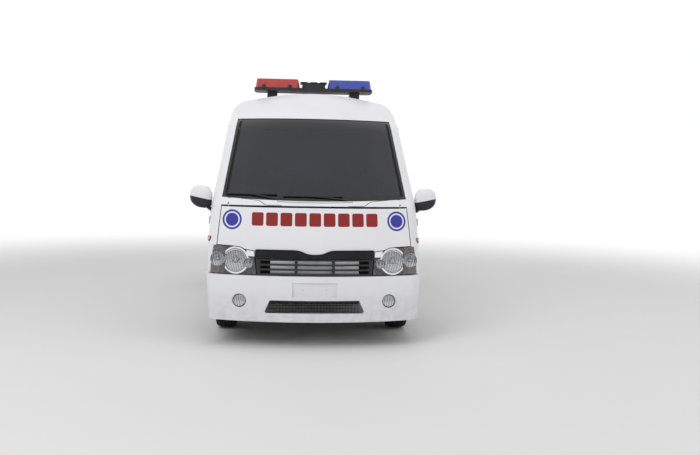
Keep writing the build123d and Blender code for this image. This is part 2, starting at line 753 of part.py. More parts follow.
with BuildPart() as bonnet:
    add(bonnet_opening)
    add(bowed_block(WAIST_HALF, BONNET_BOTTOM_Z, BONNET_TOP_Z, 0, 0, 0), mode=Mode.INTERSECT)
    add(FORM[0], mode=Mode.INTERSECT)
    add(FORM[SKIN], mode=Mode.SUBTRACT)
    add(lamp_room, mode=Mode.SUBTRACT)
    mirror(lamp_room, about=Plane.YZ, mode=Mode.SUBTRACT)
    add(swing.part, mode=Mode.SUBTRACT)
    for x in hinge_xs:
        eye_low = x - ARM / 2
        eye_high = x + ARM / 2
        arm_back_y = bonnet_hinge_y + ARM_HALF_DEPTH
        drop_z = BONNET_HINGE_Z - ARM_DROP
        add(
            cuboid(
                eye_low, eye_high, bonnet_hinge_y - ARM_HALF_DEPTH, arm_back_y, drop_z, BONNET_HINGE_Z
            )
        )
        add(cuboid(eye_low, eye_high, bonnet_hinge_y - ARM_REACH, arm_back_y, drop_z, drop_z + ARM_FOOT))
        eye_ends = [(end, bonnet_hinge_y, BONNET_HINGE_Z) for end in (eye_low, eye_high)]
        add(rod(*eye_ends, EYE_RADIUS))
        add(rod(*eye_ends, BONNET_PIN_RADIUS + FIT_GAP), mode=Mode.SUBTRACT)
save(bonnet.part, "bonnet")

# Headlamps: bowls sunk in a housing behind a clear lens; x, z, mouth radius, depth
BOWLS = [
    (680, 735, 94, 44),
    (838, 740, 62, 36),
    (568, 715, 42, 28),
]
LAMP_SETBACK = 60
with BuildPart() as housing:
    add(lamp_block)
    add(FORM[GLASS_DEPTH], mode=Mode.INTERSECT)
    add(FORM[WALL], mode=Mode.SUBTRACT)
    for x, z, mouth, depth in BOWLS:
        surface_y = NOSE_AXIS_Y - math.sqrt((NOSE_PLAN_RADIUS - LAMP_SETBACK) ** 2 - x**2)
        mouth_y = surface_y - 30
        with BuildSketch(Plane.YZ.offset(x)):
            with BuildLine():
                Line((mouth_y, z), (surface_y + depth, z))
                ThreePointArc(
                    (surface_y + depth, z),
                    (surface_y + depth * 0.7, z + mouth * 0.55),
                    (surface_y, z + mouth),
                )
                Line((surface_y, z + mouth), (mouth_y, z + mouth))
                Line((mouth_y, z + mouth), (mouth_y, z))
            make_face()
        revolve(axis=Axis((x, 0, z), (0, 1, 0)), mode=Mode.SUBTRACT)
        add(rod((x, surface_y + depth + 3, z), (x, surface_y + 0.6 * depth, z), mouth * 0.17))
with BuildPart() as headlamp_housings:
    add(housing.part)
    mirror(housing.part, about=Plane.YZ)
save(headlamp_housings.part, "headlamp_housings")
lens_block = front_block(LAMP, LAMP_BACK_Y - 2, FAR_FRONT_Y, -2)
lens = layer(lens_block, 0, GLASS_DEPTH)
with BuildPart() as headlamp_lenses:
    add(lens)
    mirror(lens, about=Plane.YZ)
save(headlamp_lenses.part, "headlamp_lenses")

# Grille with level slots between uprights
GRILLE_SLOTS = 3
SLOT_HEIGHT = 27
SLOT_LENGTH = 294
SLOT_PITCH = 318
GRILLE_FRAME = 18
slot_pitch = (GRILLE[0][1] - GRILLE[1][1] - GRILLE_FRAME) / GRILLE_SLOTS
with BuildPart() as grille:
    add(front_block(mirrored(GRILLE), LAMP_BACK_Y, FAR_FRONT_Y))
    add(FORM[GLASS_DEPTH], mode=Mode.INTERSECT)
    add(FORM[FLANGE_DEPTH], mode=Mode.SUBTRACT)
    for row in range(GRILLE_SLOTS):
        slot_z = GRILLE[1][1] + GRILLE_FRAME + row * slot_pitch
        for x in (-SLOT_PITCH, 0, SLOT_PITCH):
            slot_ends = (x - SLOT_LENGTH / 2, x + SLOT_LENGTH / 2)
            add(
                cuboid(*slot_ends, FAR_FRONT_Y, LAMP_BACK_Y, slot_z, slot_z + SLOT_HEIGHT),
                mode=Mode.SUBTRACT,
            )
save(grille.part, "grille")

# Tail lamps, full depth of the corner
tail_lamp = layer(tail_lamp_block, 0, WALL)
with BuildPart() as tail_lamps:
    add(tail_lamp)
    mirror(tail_lamp, about=Plane.YZ)
save(tail_lamps.part, "tail_lamps")

# Bumpers
BUMPER_WALL = 38
bumper_outer = body_form(0, NOSE_BUMPER, TAIL_BUMPER, BUMPER_STAND_OFF)
bumper_inner = body_form(BUMPER_WALL, NOSE_BUMPER, TAIL_BUMPER, BUMPER_STAND_OFF)
with BuildPart() as bumper_ring:
    add(bumper_outer)
    add(bumper_inner, mode=Mode.SUBTRACT)
    split(bisect_by=Plane.XY.offset(BUMPER_TOP_Z), keep=Keep.BOTTOM)
BUMPER_INTAKE = [(430, 300), (380, 410)]
FOG_LAMP_X = 640
FOG_LAMP_Z = 400
FOG_LAMP_RADIUS = 58
PLATE_HOLE_X = 100
PLATE_Z = 500
PLATE_HOLE_RADIUS = 4
PLATE_RECESS_WIDTH = 380
PLATE_RECESS_HEIGHT = 120
PLATE_FACE_Y = FRONT_Y + 30
with BuildPart() as front_bumper:
    add(bumper_ring.part)
    split(bisect_by=Plane.XZ.offset(-FRONT_AXLE_Y), keep=Keep.TOP)
    split(bisect_by=Plane.XY.offset(FRONT_BUMPER_BOTTOM_Z), keep=Keep.TOP)
    add(front_arch, mode=Mode.SUBTRACT)
    mirror(front_arch, about=Plane.YZ, mode=Mode.SUBTRACT)
    add(
        front_block(mirrored(BUMPER_INTAKE), LAMP_BACK_Y, FAR_FRONT_Y, corner=14),
        mode=Mode.SUBTRACT,
    )
    with BuildSketch(Plane.XZ.offset(-PLATE_FACE_Y)):
        with Locations((0, PLATE_Z)):
            Rectangle(PLATE_RECESS_WIDTH, PLATE_RECESS_HEIGHT)
    extrude(amount=PLATE_FACE_Y - FAR_FRONT_Y, mode=Mode.SUBTRACT)
    with BuildSketch(Plane.XZ.offset(-(FRONT_Y + 100))):
        with Locations((-PLATE_HOLE_X, PLATE_Z), (PLATE_HOLE_X, PLATE_Z)):
            Circle(PLATE_HOLE_RADIUS)
    extrude(amount=200, mode=Mode.SUBTRACT)
    for x in (-FOG_LAMP_X, FOG_LAMP_X):
        fog_ends = [(x, LAMP_BACK_Y, FOG_LAMP_Z), (x, FAR_FRONT_Y, FOG_LAMP_Z)]
        add(rod(*fog_ends, FOG_LAMP_RADIUS), mode=Mode.SUBTRACT)
        glass_ends = [(x, FRONT_Y + 160, FOG_LAMP_Z), (x, FRONT_Y + 115, FOG_LAMP_Z)]
        add(rod(*glass_ends, FOG_LAMP_RADIUS + 1))
save(front_bumper.part, "front_bumper")

STEP_TOP_Z = 600
with BuildPart() as rear_bumper:
    add(bumper_ring.part)
    split(bisect_by=Plane.XZ.offset(-REAR_BUMPER_FRONT_Y), keep=Keep.BOTTOM)
    split(bisect_by=Plane.XY.offset(REAR_BUMPER_BOTTOM_Z), keep=Keep.TOP)
    split(bisect_by=Plane.XY.offset(STEP_TOP_Z), keep=Keep.BOTTOM)
    with BuildSketch(Plane.XY.offset(STEP_TOP_Z - 30)):
        with Locations((0, REAR_Y - 90)):
            Rectangle(2 * TAILGATE_HALF_BOTTOM, 110)
    extrude(amount=30)
save(rear_bumper.part, "rear_bumper")

# Floors: stepped cab floor with the bulkhead ahead of the feet, level load floor, rear wheel tubs
FIREWALL_Y = FRONT_Y + 290
FOOTWELL_BACK_Y = FRONT_AXLE_Y - ARCH_RADIUS
FLOOR_END_Y = REAR_Y - 150
footwell_top = FOOTWELL_Z + FLOOR_THICKNESS
seat_deck_top = SEAT_DECK_Z + FLOOR_THICKNESS
load_floor_top = LOAD_FLOOR_Z + FLOOR_THICKNESS
partition_back_y = DECK_BACK_Y + FLOOR_THICKNESS
CAB_FLOOR_PROFILE = [
    (FIREWALL_Y, FOOTWELL_Z),
    (FOOTWELL_BACK_Y, FOOTWELL_Z),
    (FOOTWELL_BACK_Y, SEAT_DECK_Z),
    (DECK_BACK_Y, SEAT_DECK_Z),
    (DECK_BACK_Y, LOAD_FLOOR_Z),
    (partition_back_y, LOAD_FLOOR_Z),
    (partition_back_y, seat_deck_top),
    (FOOTWELL_BACK_Y - FLOOR_THICKNESS, seat_deck_top),
    (FOOTWELL_BACK_Y - FLOOR_THICKNESS, footwell_top),
    (FIREWALL_Y + FLOOR_THICKNESS, footwell_top),
    (FIREWALL_Y + FLOOR_THICKNESS, BELT_Z),
    (FIREWALL_Y, BELT_Z),
]
CAB_FLOOR_HALF = 868
TUB_IN_X = arch_x + 20
TUB_WALL = 12
FRONT_TUB_IN_X = 500
with BuildPart() as front_tub:
    add(
        rod(
            (FRONT_TUB_IN_X - TUB_WALL, FRONT_AXLE_Y, TYRE_RADIUS),
            (CAB_FLOOR_HALF, FRONT_AXLE_Y, TYRE_RADIUS),
            ARCH_RADIUS + TUB_WALL,
        )
    )
    add(
        rod(
            (FRONT_TUB_IN_X, FRONT_AXLE_Y, TYRE_RADIUS),
            (FAR_SIDE_X, FRONT_AXLE_Y, TYRE_RADIUS),
            ARCH_RADIUS,
        ),
        mode=Mode.SUBTRACT,
    )
    split(bisect_by=Plane.XY.offset(FOOTWELL_Z + 40), keep=Keep.TOP)
    split(bisect_by=Plane.XZ.offset(-(FOOTWELL_BACK_Y + 1)), keep=Keep.BOTTOM)
with BuildPart() as cab_floor:
    add(side_block(CAB_FLOOR_PROFILE, -WAIST_HALF, WAIST_HALF))
    for way in (-1, 1):
        low, high = sorted((way * CAB_FLOOR_HALF, way * FAR_SIDE_X))
        add(cuboid(low, high, DOOR_FRONT_Y - 40, DECK_BACK_Y - 10, 400, 900), mode=Mode.SUBTRACT)
    add(front_tub.part)
    mirror(front_tub.part, about=Plane.YZ)
    add(INTERIOR, mode=Mode.INTERSECT)
save(cab_floor.part, "cab_floor")

rear_wheel_space = rod(
    (TUB_IN_X, REAR_AXLE_Y, TYRE_RADIUS), (FAR_SIDE_X, REAR_AXLE_Y, TYRE_RADIUS), ARCH_RADIUS
)
with BuildPart() as load_floor:
    add(
        cuboid(-WAIST_HALF, WAIST_HALF, partition_back_y, FLOOR_END_Y, LOAD_FLOOR_Z, load_floor_top)
    )
    add(rear_wheel_space, mode=Mode.SUBTRACT)
    mirror(rear_wheel_space, about=Plane.YZ, mode=Mode.SUBTRACT)
    add(INTERIOR, mode=Mode.INTERSECT)
save(load_floor.part, "load_floor")

with BuildPart() as rear_tub:
    add(
        rod(
            (TUB_IN_X - TUB_WALL, REAR_AXLE_Y, TYRE_RADIUS),
            (FAR_SIDE_X, REAR_AXLE_Y, TYRE_RADIUS),
            ARCH_RADIUS + TUB_WALL,
        )
    )
    add(rear_wheel_space, mode=Mode.SUBTRACT)
    split(bisect_by=Plane.XY.offset(load_floor_top), keep=Keep.TOP)
    add(INTERIOR, mode=Mode.INTERSECT)
with BuildPart() as rear_wheel_tubs:
    add(rear_tub.part)
    mirror(rear_tub.part, about=Plane.YZ)
save(rear_wheel_tubs.part, "rear_wheel_tubs")

# Partition with a glazed opening
with BuildPart() as partition:
    add(cuboid(-WAIST_HALF, WAIST_HALF, DECK_BACK_Y, partition_back_y, seat_deck_top, 2 * EAVE_Z))
    add(INTERIOR, mode=Mode.INTERSECT)
    add(front_block(PARTITION_WINDOW, partition_back_y, DECK_BACK_Y, corner=40), mode=Mode.SUBTRACT)
save(partition.part, "partition")

# Frame: two rails that step up behind the cab, with crossmembers
rail_top = LOAD_FLOOR_Z
RAIL_KICK_Y = DECK_BACK_Y - 60
RAIL_PROFILE = [
    (FRONT_Y + 130, FOOTWELL_Z),
    (FRONT_Y + 130, FOOTWELL_Z - RAIL_HEIGHT),
    (RAIL_KICK_Y, FOOTWELL_Z - RAIL_HEIGHT),
    (RAIL_KICK_Y + 260, rail_top - RAIL_HEIGHT),
    (FLOOR_END_Y, rail_top - RAIL_HEIGHT),
    (FLOOR_END_Y, rail_top),
    (RAIL_KICK_Y + 200, rail_top),
    (RAIL_KICK_Y - 60, FOOTWELL_Z),
]
# Crossmembers: y, low z, high z, width along the vehicle
SPARE_Y = REAR_Y - 590
CROSSMEMBERS = [
    (FRONT_Y + 160, FOOTWELL_Z - 90, FOOTWELL_Z, 60),
    (DECK_BACK_Y + 520, rail_top - 90, rail_top, 70),
    (DECK_BACK_Y + 1155, rail_top - 90, rail_top, 70),
    (REAR_AXLE_Y - 520, rail_top - 90, rail_top, 70),
    (SPARE_Y, rail_top - 40, rail_top, 90),
    (FLOOR_END_Y - 40, rail_top - 90, rail_top, 70),
]
SPARE_X = 50
SPARE_HUB_Z = 520
HORN_HALF = 30
with BuildPart() as chassis_rails:
    rail = side_block(RAIL_PROFILE, RAIL_X - RAIL_WIDTH / 2, RAIL_X + RAIL_WIDTH / 2)
    add(rail)
    mirror(rail, about=Plane.YZ)
    for x in (-RAIL_X, RAIL_X):
        horn = (x - HORN_HALF, x + HORN_HALF)
        horn_low = rail_top - RAIL_HEIGHT + 5
        add(cuboid(*horn, FRONT_Y + 60, FRONT_Y + 140, 330, FOOTWELL_Z))
        add(cuboid(*horn, FLOOR_END_Y - 10, REAR_Y - 60, horn_low, STEP_TOP_Z - 30))
    add(bumper_inner, mode=Mode.INTERSECT)
save(chassis_rails.part, "chassis_rails")

rail_inner_x = RAIL_X - RAIL_WIDTH / 2
with BuildPart() as crossmembers:
    for y, low, high, width in CROSSMEMBERS:
        add(cuboid(-rail_inner_x, rail_inner_x, y - width / 2, y + width / 2, low, high))
    add(rod((SPARE_X, SPARE_Y, SPARE_HUB_Z), (SPARE_X, SPARE_Y, rail_top - 20), 26))
save(crossmembers.part, "crossmembers")

# Radiator on the front crossmember
save(
    cuboid(-380, 380, FRONT_Y + 135, FRONT_Y + 185, FOOTWELL_Z, BONNET_BOTTOM_Z - 20), "radiator"
)

# Engine, gearbox and propeller shaft as one mass under the seats
ENGINE_BACK_Y = FRONT_AXLE_Y + 390
GEARBOX_BACK_Y = ENGINE_BACK_Y + 500
AXLE_NOSE_Y = REAR_AXLE_Y - 170
GEARBOX_Z = 470
with BuildPart() as powertrain:
    add(cuboid(-280, 280, FRONT_AXLE_Y - 170, ENGINE_BACK_Y, 340, 740))
    edges_up = powertrain.edges().filter_by(Axis.Z)
    fillet(edges_up, radius=40)
    with BuildSketch(Plane.XZ.offset(-ENGINE_BACK_Y)):
        with Locations((0, GEARBOX_Z)):
            Circle(150)
    with BuildSketch(Plane.XZ.offset(-GEARBOX_BACK_Y)):
        with Locations((0, GEARBOX_Z)):
            Circle(85)
    loft()
    add(rod((0, GEARBOX_BACK_Y, GEARBOX_Z), (0, AXLE_NOSE_Y - 4, TYRE_RADIUS), 38))
    mount_ys = (FRONT_AXLE_Y + 60, FRONT_AXLE_Y + 140)
    add(cuboid(-rail_inner_x, rail_inner_x, *mount_ys, 380, 440))
save(powertrain.part, "powertrain")

# Exhaust: pipe with a silencer, hung from the floor
EXHAUST_X = -345
EXHAUST_Z = 450
EXHAUST_END_X = -620
EXHAUST_TURN_Y = REAR_Y - 420
with BuildPart() as exhaust:
    with BuildLine() as route:
        FilletPolyline(
            (EXHAUST_X, ENGINE_BACK_Y + 120, EXHAUST_Z),
            (EXHAUST_X, EXHAUST_TURN_Y, EXHAUST_Z),
            (EXHAUST_END_X, EXHAUST_TURN_Y + 60, EXHAUST_Z),
            (EXHAUST_END_X, REAR_Y - 95, EXHAUST_Z - 165),
            radius=70,
        )
    with BuildSketch(Plane(origin=route.line @ 0, z_dir=route.line % 0)):
        Circle(28)
    sweep(path=route.line)
    muffler_y = REAR_AXLE_Y - 1150
    with BuildSketch(Plane.XZ.offset(-muffler_y)):
        with Locations((EXHAUST_X + 40, EXHAUST_Z - 10)):
            SlotOverall(200, 120)
    extrude(amount=-560)
    for y in (muffler_y - 300, muffler_y + 700):
        add(cuboid(EXHAUST_X - 6, EXHAUST_X + 6, y - 15, y + 15, EXHAUST_Z, LOAD_FLOOR_Z))
save(exhaust.part, "exhaust")

# Fuel tank under the left of the load floor
with BuildPart() as fuel_tank:
    with BuildSketch(Plane.YZ.offset(510)):
        with BuildLine():
            FilletPolyline(
                (DECK_BACK_Y + 655, 340),
                (DECK_BACK_Y + 1465, 340),
                (DECK_BACK_Y + 1505, 400),
                (DECK_BACK_Y + 1505, LOAD_FLOOR_Z),
                (DECK_BACK_Y + 615, LOAD_FLOOR_Z),
                (DECK_BACK_Y + 615, 400),
                radius=25,
                close=True,
            )
        make_face()
    extrude(amount=330)
save(fuel_tank.part, "fuel_tank")


def ring_profile(points, radius_list):
    """Closed profile of a wheel piece: first across the wheel, then out from its axis."""
    with BuildPart() as ring:
        with BuildSketch(Plane.XZ):
            with BuildLine():
                FilletPolyline(*points, radius=radius_list, close=True)
            make_face()
        revolve(axis=Axis.X)
    return ring.part


half_w = TYRE_WIDTH / 2
TYRE_PROFILE = [
    (-RIM_HALF_WIDTH, RIM_RADIUS),
    (-RIM_HALF_WIDTH, RIM_RADIUS + RIM_LIP + 2),
    (-half_w, RIM_RADIUS + 60),
    (-half_w + 6, TYRE_RADIUS - 12),
    (-half_w + 26, TYRE_RADIUS),
    (half_w - 26, TYRE_RADIUS),
    (half_w - 6, TYRE_RADIUS - 12),
    (half_w, RIM_RADIUS + 60),
    (RIM_HALF_WIDTH, RIM_RADIUS + RIM_LIP + 2),
    (RIM_HALF_WIDTH, RIM_RADIUS),
]
tyre_shape = ring_profile(TYRE_PROFILE, [0, 0, 40, 14, 10, 10, 14, 40, 0, 0])

DISC_OUT = 38
DISC_THICKNESS = 7
HUB_RADIUS = 48
WELL = 26
RIM_PROFILE = [
    (-RIM_HALF_WIDTH, RIM_RADIUS),
    (-RIM_HALF_WIDTH, RIM_RADIUS + RIM_LIP),
    (-RIM_HALF_WIDTH - 6, RIM_RADIUS + RIM_LIP),
    (-RIM_HALF_WIDTH - 6, RIM_RADIUS - RIM_WALL),
    (-45, RIM_RADIUS - RIM_WALL),
    (-30, RIM_RADIUS - RIM_WALL - WELL / 2),
    (30, RIM_RADIUS - RIM_WALL - WELL / 2),
    (45, RIM_RADIUS - RIM_WALL),
    (RIM_HALF_WIDTH + 6, RIM_RADIUS - RIM_WALL),
    (RIM_HALF_WIDTH + 6, RIM_RADIUS + RIM_LIP),
    (RIM_HALF_WIDTH, RIM_RADIUS + RIM_LIP),
    (RIM_HALF_WIDTH, RIM_RADIUS),
]
VENTS = 10
VENT_CIRCLE = 128
BRAKE_RADIUS = 132
with BuildPart() as rim:
    add(ring_profile(RIM_PROFILE, [0] + [0.5] * 10 + [0]))
    with BuildSketch(Plane.XZ):
        with BuildLine():
            Polyline(
                (DISC_OUT - 18, RIM_RADIUS - RIM_WALL - WELL / 2 + 1),
                (DISC_OUT - 8, 150),
                (DISC_OUT, 105),
                (DISC_OUT - 16, 80),
                (DISC_OUT - 16, SPINDLE_RADIUS + FIT_GAP),
                (-30, SPINDLE_RADIUS + FIT_GAP),
                (-30, HUB_RADIUS),
                (-18, HUB_RADIUS),
                (-18, BRAKE_RADIUS),
                (-6, BRAKE_RADIUS),
                (-6, HUB_RADIUS),
                (DISC_OUT - 16 - DISC_THICKNESS, HUB_RADIUS),
                (DISC_OUT - 16 - DISC_THICKNESS, 84),
                (DISC_OUT - DISC_THICKNESS, 109),
                (DISC_OUT - 8 - DISC_THICKNESS, 148),
                (DISC_OUT - 18 - DISC_THICKNESS, RIM_RADIUS - RIM_WALL - WELL / 2 + 1),
                close=True,
            )
        make_face()
    revolve(axis=Axis.X)
    with BuildSketch(Plane.YZ.offset(DISC_OUT - 40)):
        with PolarLocations(VENT_CIRCLE, VENTS):
            Circle(15)
    extrude(amount=60, mode=Mode.SUBTRACT)
    with BuildSketch(Plane.YZ.offset(DISC_OUT - 18)):
        Circle(34)
    extrude(amount=26)

# Wheels: name, side, axle position
WHEELS = [
    ("front_left", 1, FRONT_AXLE_Y),
    ("front_right", -1, FRONT_AXLE_Y),
    ("rear_left", 1, REAR_AXLE_Y),
    ("rear_right", -1, REAR_AXLE_Y),
]
for name, way, axle_y in WHEELS:
    place = Pos(way * WHEEL_X, axle_y, TYRE_RADIUS) * Rot(0, 0, 0 if way > 0 else 180)
    save(place * rim.part, f"rim_{name}")
    save(place * tyre_shape, f"tyre_{name}")
SPARE_Z = rail_top - 40 - TYRE_WIDTH / 2 - 3
with BuildPart() as spare_wheel:
    flat = Pos(SPARE_X, SPARE_Y, SPARE_Z) * Rot(0, 90, 0)
    add(flat * tyre_shape)
    with BuildSketch(Plane.XY.offset(SPARE_Z - 80)):
        with Locations((SPARE_X, SPARE_Y)):
            Circle(RIM_RADIUS)
            Circle(RIM_RADIUS - RIM_WALL, mode=Mode.SUBTRACT)
    extrude(amount=160)
    with BuildSketch(Plane.XY.offset(SPARE_HUB_Z - 10)):
        with Locations((SPARE_X, SPARE_Y)):
            Circle(RIM_RADIUS - 2)
    extrude(amount=10)
save(spare_wheel.part, "spare_wheel")

# Front suspension: subframe, with lower and upper arms that hold the knuckles
POST_RADIUS = 20
POST_LOW = 235
POST_HIGH = 459
SUBFRAME_LOW = 245
TOWER_X = RAIL_X + RAIL_WIDTH / 2 + 15
with BuildPart() as arms:
    for y_side in (-1, 1):
        spread = y_side * 130
        add(strut((430, FRONT_AXLE_Y + spread, 285), (KINGPIN_X, FRONT_AXLE_Y, POST_LOW - 12), 34, 22))
        add(strut((TOWER_X, FRONT_AXLE_Y + spread, 450), (KINGPIN_X, FRONT_AXLE_Y, POST_HIGH + 12), 28, 20))
        add(
            cuboid(
                RAIL_X + RAIL_WIDTH / 2 + FIT_GAP,
                TOWER_X + 10,
                FRONT_AXLE_Y + spread - 20,
                FRONT_AXLE_Y + spread + 20,
                SUBFRAME_LOW + 20,
                FOOTWELL_Z,
            )
        )
    add(rod((KINGPIN_X, FRONT_AXLE_Y, POST_LOW - 26), (KINGPIN_X, FRONT_AXLE_Y, POST_LOW - FIT_GAP), 26))
    add(rod((KINGPIN_X, FRONT_AXLE_Y, POST_HIGH + FIT_GAP), (KINGPIN_X, FRONT_AXLE_Y, POST_HIGH + 26), 26))
    with Locations((KINGPIN_X, FRONT_AXLE_Y, (POST_LOW + POST_HIGH) / 2)):
        Box(120, 120, POST_HIGH - POST_LOW + 2 * FIT_GAP, mode=Mode.SUBTRACT)
with BuildPart() as front_suspension:
    add(arms.part)
    mirror(arms.part, about=Plane.YZ)
    add(
        cuboid(-440, 440, FRONT_AXLE_Y - 170, FRONT_AXLE_Y + 170, SUBFRAME_LOW, SUBFRAME_LOW + 60),
    )
    for x in (-RAIL_X, RAIL_X):
        for y in (FRONT_AXLE_Y - 130, FRONT_AXLE_Y + 130):
            add(cuboid(x - 37, x + 37, y - 30, y + 30, SUBFRAME_LOW + 20, FOOTWELL_Z - RAIL_HEIGHT))
save(front_suspension.part, "front_suspension")

# Steering knuckles
with BuildPart() as knuckle:
    add(rod((KINGPIN_X, FRONT_AXLE_Y, POST_LOW), (KINGPIN_X, FRONT_AXLE_Y, POST_HIGH), POST_RADIUS))
    add(
        rod(
            (KINGPIN_X, FRONT_AXLE_Y, TYRE_RADIUS),
            (WHEEL_X + DISC_OUT - 22, FRONT_AXLE_Y, TYRE_RADIUS),
            SPINDLE_RADIUS,
        )
    )
    add(rod((KINGPIN_X, FRONT_AXLE_Y, TYRE_RADIUS), (WHEEL_X - 36, FRONT_AXLE_Y, TYRE_RADIUS), 40))
    add(
        strut(
            (KINGPIN_X, FRONT_AXLE_Y, TYRE_RADIUS - 60),
            (KINGPIN_X - 30, FRONT_AXLE_Y + 120, TYRE_RADIUS - 60),
            20,
            20,
        )
    )
save(knuckle.part, "knuckle_left")
with BuildPart() as knuckle_right:
    mirror(knuckle.part, about=Plane.YZ)
save(knuckle_right.part, "knuckle_right")

# Rear axle with leaf springs
SPRING_FRONT_Y = REAR_AXLE_Y - 620
SPRING_BACK_Y = REAR_AXLE_Y + 640
with BuildPart() as spring:
    with BuildSketch(Plane.YZ.offset(RAIL_X - 30)):
        with BuildLine():
            ThreePointArc((SPRING_FRONT_Y, 500), (REAR_AXLE_Y, 395), (SPRING_BACK_Y, 500))
            Line((SPRING_BACK_Y, 500), (SPRING_BACK_Y, 512))
            ThreePointArc((SPRING_BACK_Y, 512), (REAR_AXLE_Y, 420), (SPRING_FRONT_Y, 512))
            Line((SPRING_FRONT_Y, 512), (SPRING_FRONT_Y, 500))
        make_face()
    extrude(amount=60)
    for y in (SPRING_FRONT_Y, SPRING_BACK_Y):
        add(rod((RAIL_X - 34, y, 500), (RAIL_X + 34, y, 500), rail_top - RAIL_HEIGHT - 500))
with BuildPart() as rear_axle:
    add(rod((-WHEEL_X + 50, REAR_AXLE_Y, TYRE_RADIUS), (WHEEL_X - 50, REAR_AXLE_Y, TYRE_RADIUS), 42))
    stub = WHEEL_X + DISC_OUT - 22
    add(rod((-stub, REAR_AXLE_Y, TYRE_RADIUS), (stub, REAR_AXLE_Y, TYRE_RADIUS), SPINDLE_RADIUS))
    with BuildSketch(Plane.YZ):
        with BuildLine():
            CenterArc((REAR_AXLE_Y, TYRE_RADIUS), 128, 0, 180)
            Line((REAR_AXLE_Y - 128, TYRE_RADIUS), (REAR_AXLE_Y + 128, TYRE_RADIUS))
        make_face()
    revolve(axis=Axis((0, REAR_AXLE_Y, TYRE_RADIUS), (0, 1, 0)))
    add(rod((0, AXLE_NOSE_Y, TYRE_RADIUS), (0, REAR_AXLE_Y, TYRE_RADIUS), 60))
    add(spring.part)
    mirror(spring.part, about=Plane.YZ)
    for x in (-RAIL_X, RAIL_X):
        add(cuboid(x - 38, x + 38, REAR_AXLE_Y - 60, REAR_AXLE_Y + 60, TYRE_RADIUS, 410))
save(rear_axle.part, "rear_axle")

# Dashboard across the cab
DASH_HALF = 715
dash_front_y = FIREWALL_Y + FLOOR_THICKNESS
DASH_PROFILE = [
    (dash_front_y, 880),
    (dash_front_y + 150, 880),
    (dash_front_y + 240, 960),
    (dash_front_y + 235, 1080),
    (dash_front_y + 150, 1150),
    (dash_front_y, 1140),
]
with BuildPart() as dashboard:
    add(side_block(DASH_PROFILE, -DASH_HALF, DASH_HALF, corner=22))
    add(side_block([(y + 20, z + 40) for y, z in DASH_PROFILE[2:5]], -600, -270))
    add(INTERIOR, mode=Mode.INTERSECT)
save(dashboard.part, "dashboard")

# Steering wheel on its column, on the right-hand side
DRIVER_X = -430
wheel_plane = Plane(origin=(DRIVER_X, FIREWALL_Y + 400, 1120), x_dir=(1, 0, 0), z_dir=(0, 0.62, 0.78))
COLUMN_LENGTH = 190
with BuildPart() as steering_wheel:
    with BuildSketch(Plane(origin=wheel_plane.origin, x_dir=(1, 0, 0), z_dir=(0, -0.78, 0.62))):
        with Locations((185, 0)):
            Circle(14)
    revolve(axis=Axis(wheel_plane.origin, wheel_plane.z_dir))
    with BuildSketch(wheel_plane.offset(-14)):
        Circle(55)
        Rectangle(360, 34)
        with Locations((0, -90)):
            Rectangle(34, 180)
    extrude(amount=20)
    with BuildSketch(wheel_plane.offset(-COLUMN_LENGTH)):
        Circle(32)
    extrude(amount=COLUMN_LENGTH)
    add(dashboard.part, mode=Mode.SUBTRACT)
save(steering_wheel.part, "steering_wheel")

# Cab seats: cushion, back and head restraint
SEAT_FRONT_Y = DECK_BACK_Y - 600
seat_z = seat_deck_top
with BuildPart() as seat:
    with BuildSketch(Plane.YZ.offset(-DRIVER_X - 250)):
        with BuildLine():
            FilletPolyline(
                (SEAT_FRONT_Y, seat_z),
                (SEAT_FRONT_Y, seat_z + 150),
                (SEAT_FRONT_Y + 430, seat_z + 120),
                (SEAT_FRONT_Y + 530, seat_z + 700),
                (SEAT_FRONT_Y + 590, seat_z + 690),
                (SEAT_FRONT_Y + 560, seat_z),
                radius=25,
                close=True,
            )
        make_face()
    extrude(amount=500)
    with BuildSketch(Plane.YZ.offset(-DRIVER_X - 130)):
        with BuildLine():
            FilletPolyline(
                (SEAT_FRONT_Y + 500, seat_z + 680),
                (SEAT_FRONT_Y + 520, seat_z + 860),
                (SEAT_FRONT_Y + 590, seat_z + 850),
                (SEAT_FRONT_Y + 590, seat_z + 680),
                radius=22,
                close=True,
            )
        make_face()
    extrude(amount=260)
with BuildPart() as front_seats:
    add(seat.part)
    mirror(seat.part, about=Plane.YZ)
save(front_seats.part, "front_seats")

# Patient space: stretcher, bench and cabinet
deck_z = load_floor_top
STRETCHER_X = -300
STRETCHER_HALF = 280
STRETCHER_FRONT_Y = SLIDER_REAR_Y + 455
STRETCHER_BACK_Y = REAR_Y - 390
STRETCHER_TOP = 900
with BuildPart() as stretcher_frame:
    low_y, high_y = STRETCHER_FRONT_Y, STRETCHER_BACK_Y
    stretcher_xs = (STRETCHER_X - STRETCHER_HALF, STRETCHER_X + STRETCHER_HALF)
    add(cuboid(*stretcher_xs, low_y, high_y, STRETCHER_TOP - 40, STRETCHER_TOP))
    for x in (stretcher_xs[0] + 40, stretcher_xs[1] - 40):
        for y in (low_y + 150, high_y - 150):
            add(rod((x, y, deck_z + 90), (x, y, STRETCHER_TOP - 20), 16))
            add(rod((x - 18, y, deck_z + 60), (x + 18, y, deck_z + 60), 60))
        add(cuboid(x - 14, x + 14, low_y + 150, high_y - 150, deck_z + 96, deck_z + 124))
        add(rod((x, low_y, STRETCHER_TOP - 20), (x, low_y - 70, STRETCHER_TOP - 20), 14))
save(stretcher_frame.part, "stretcher_frame")
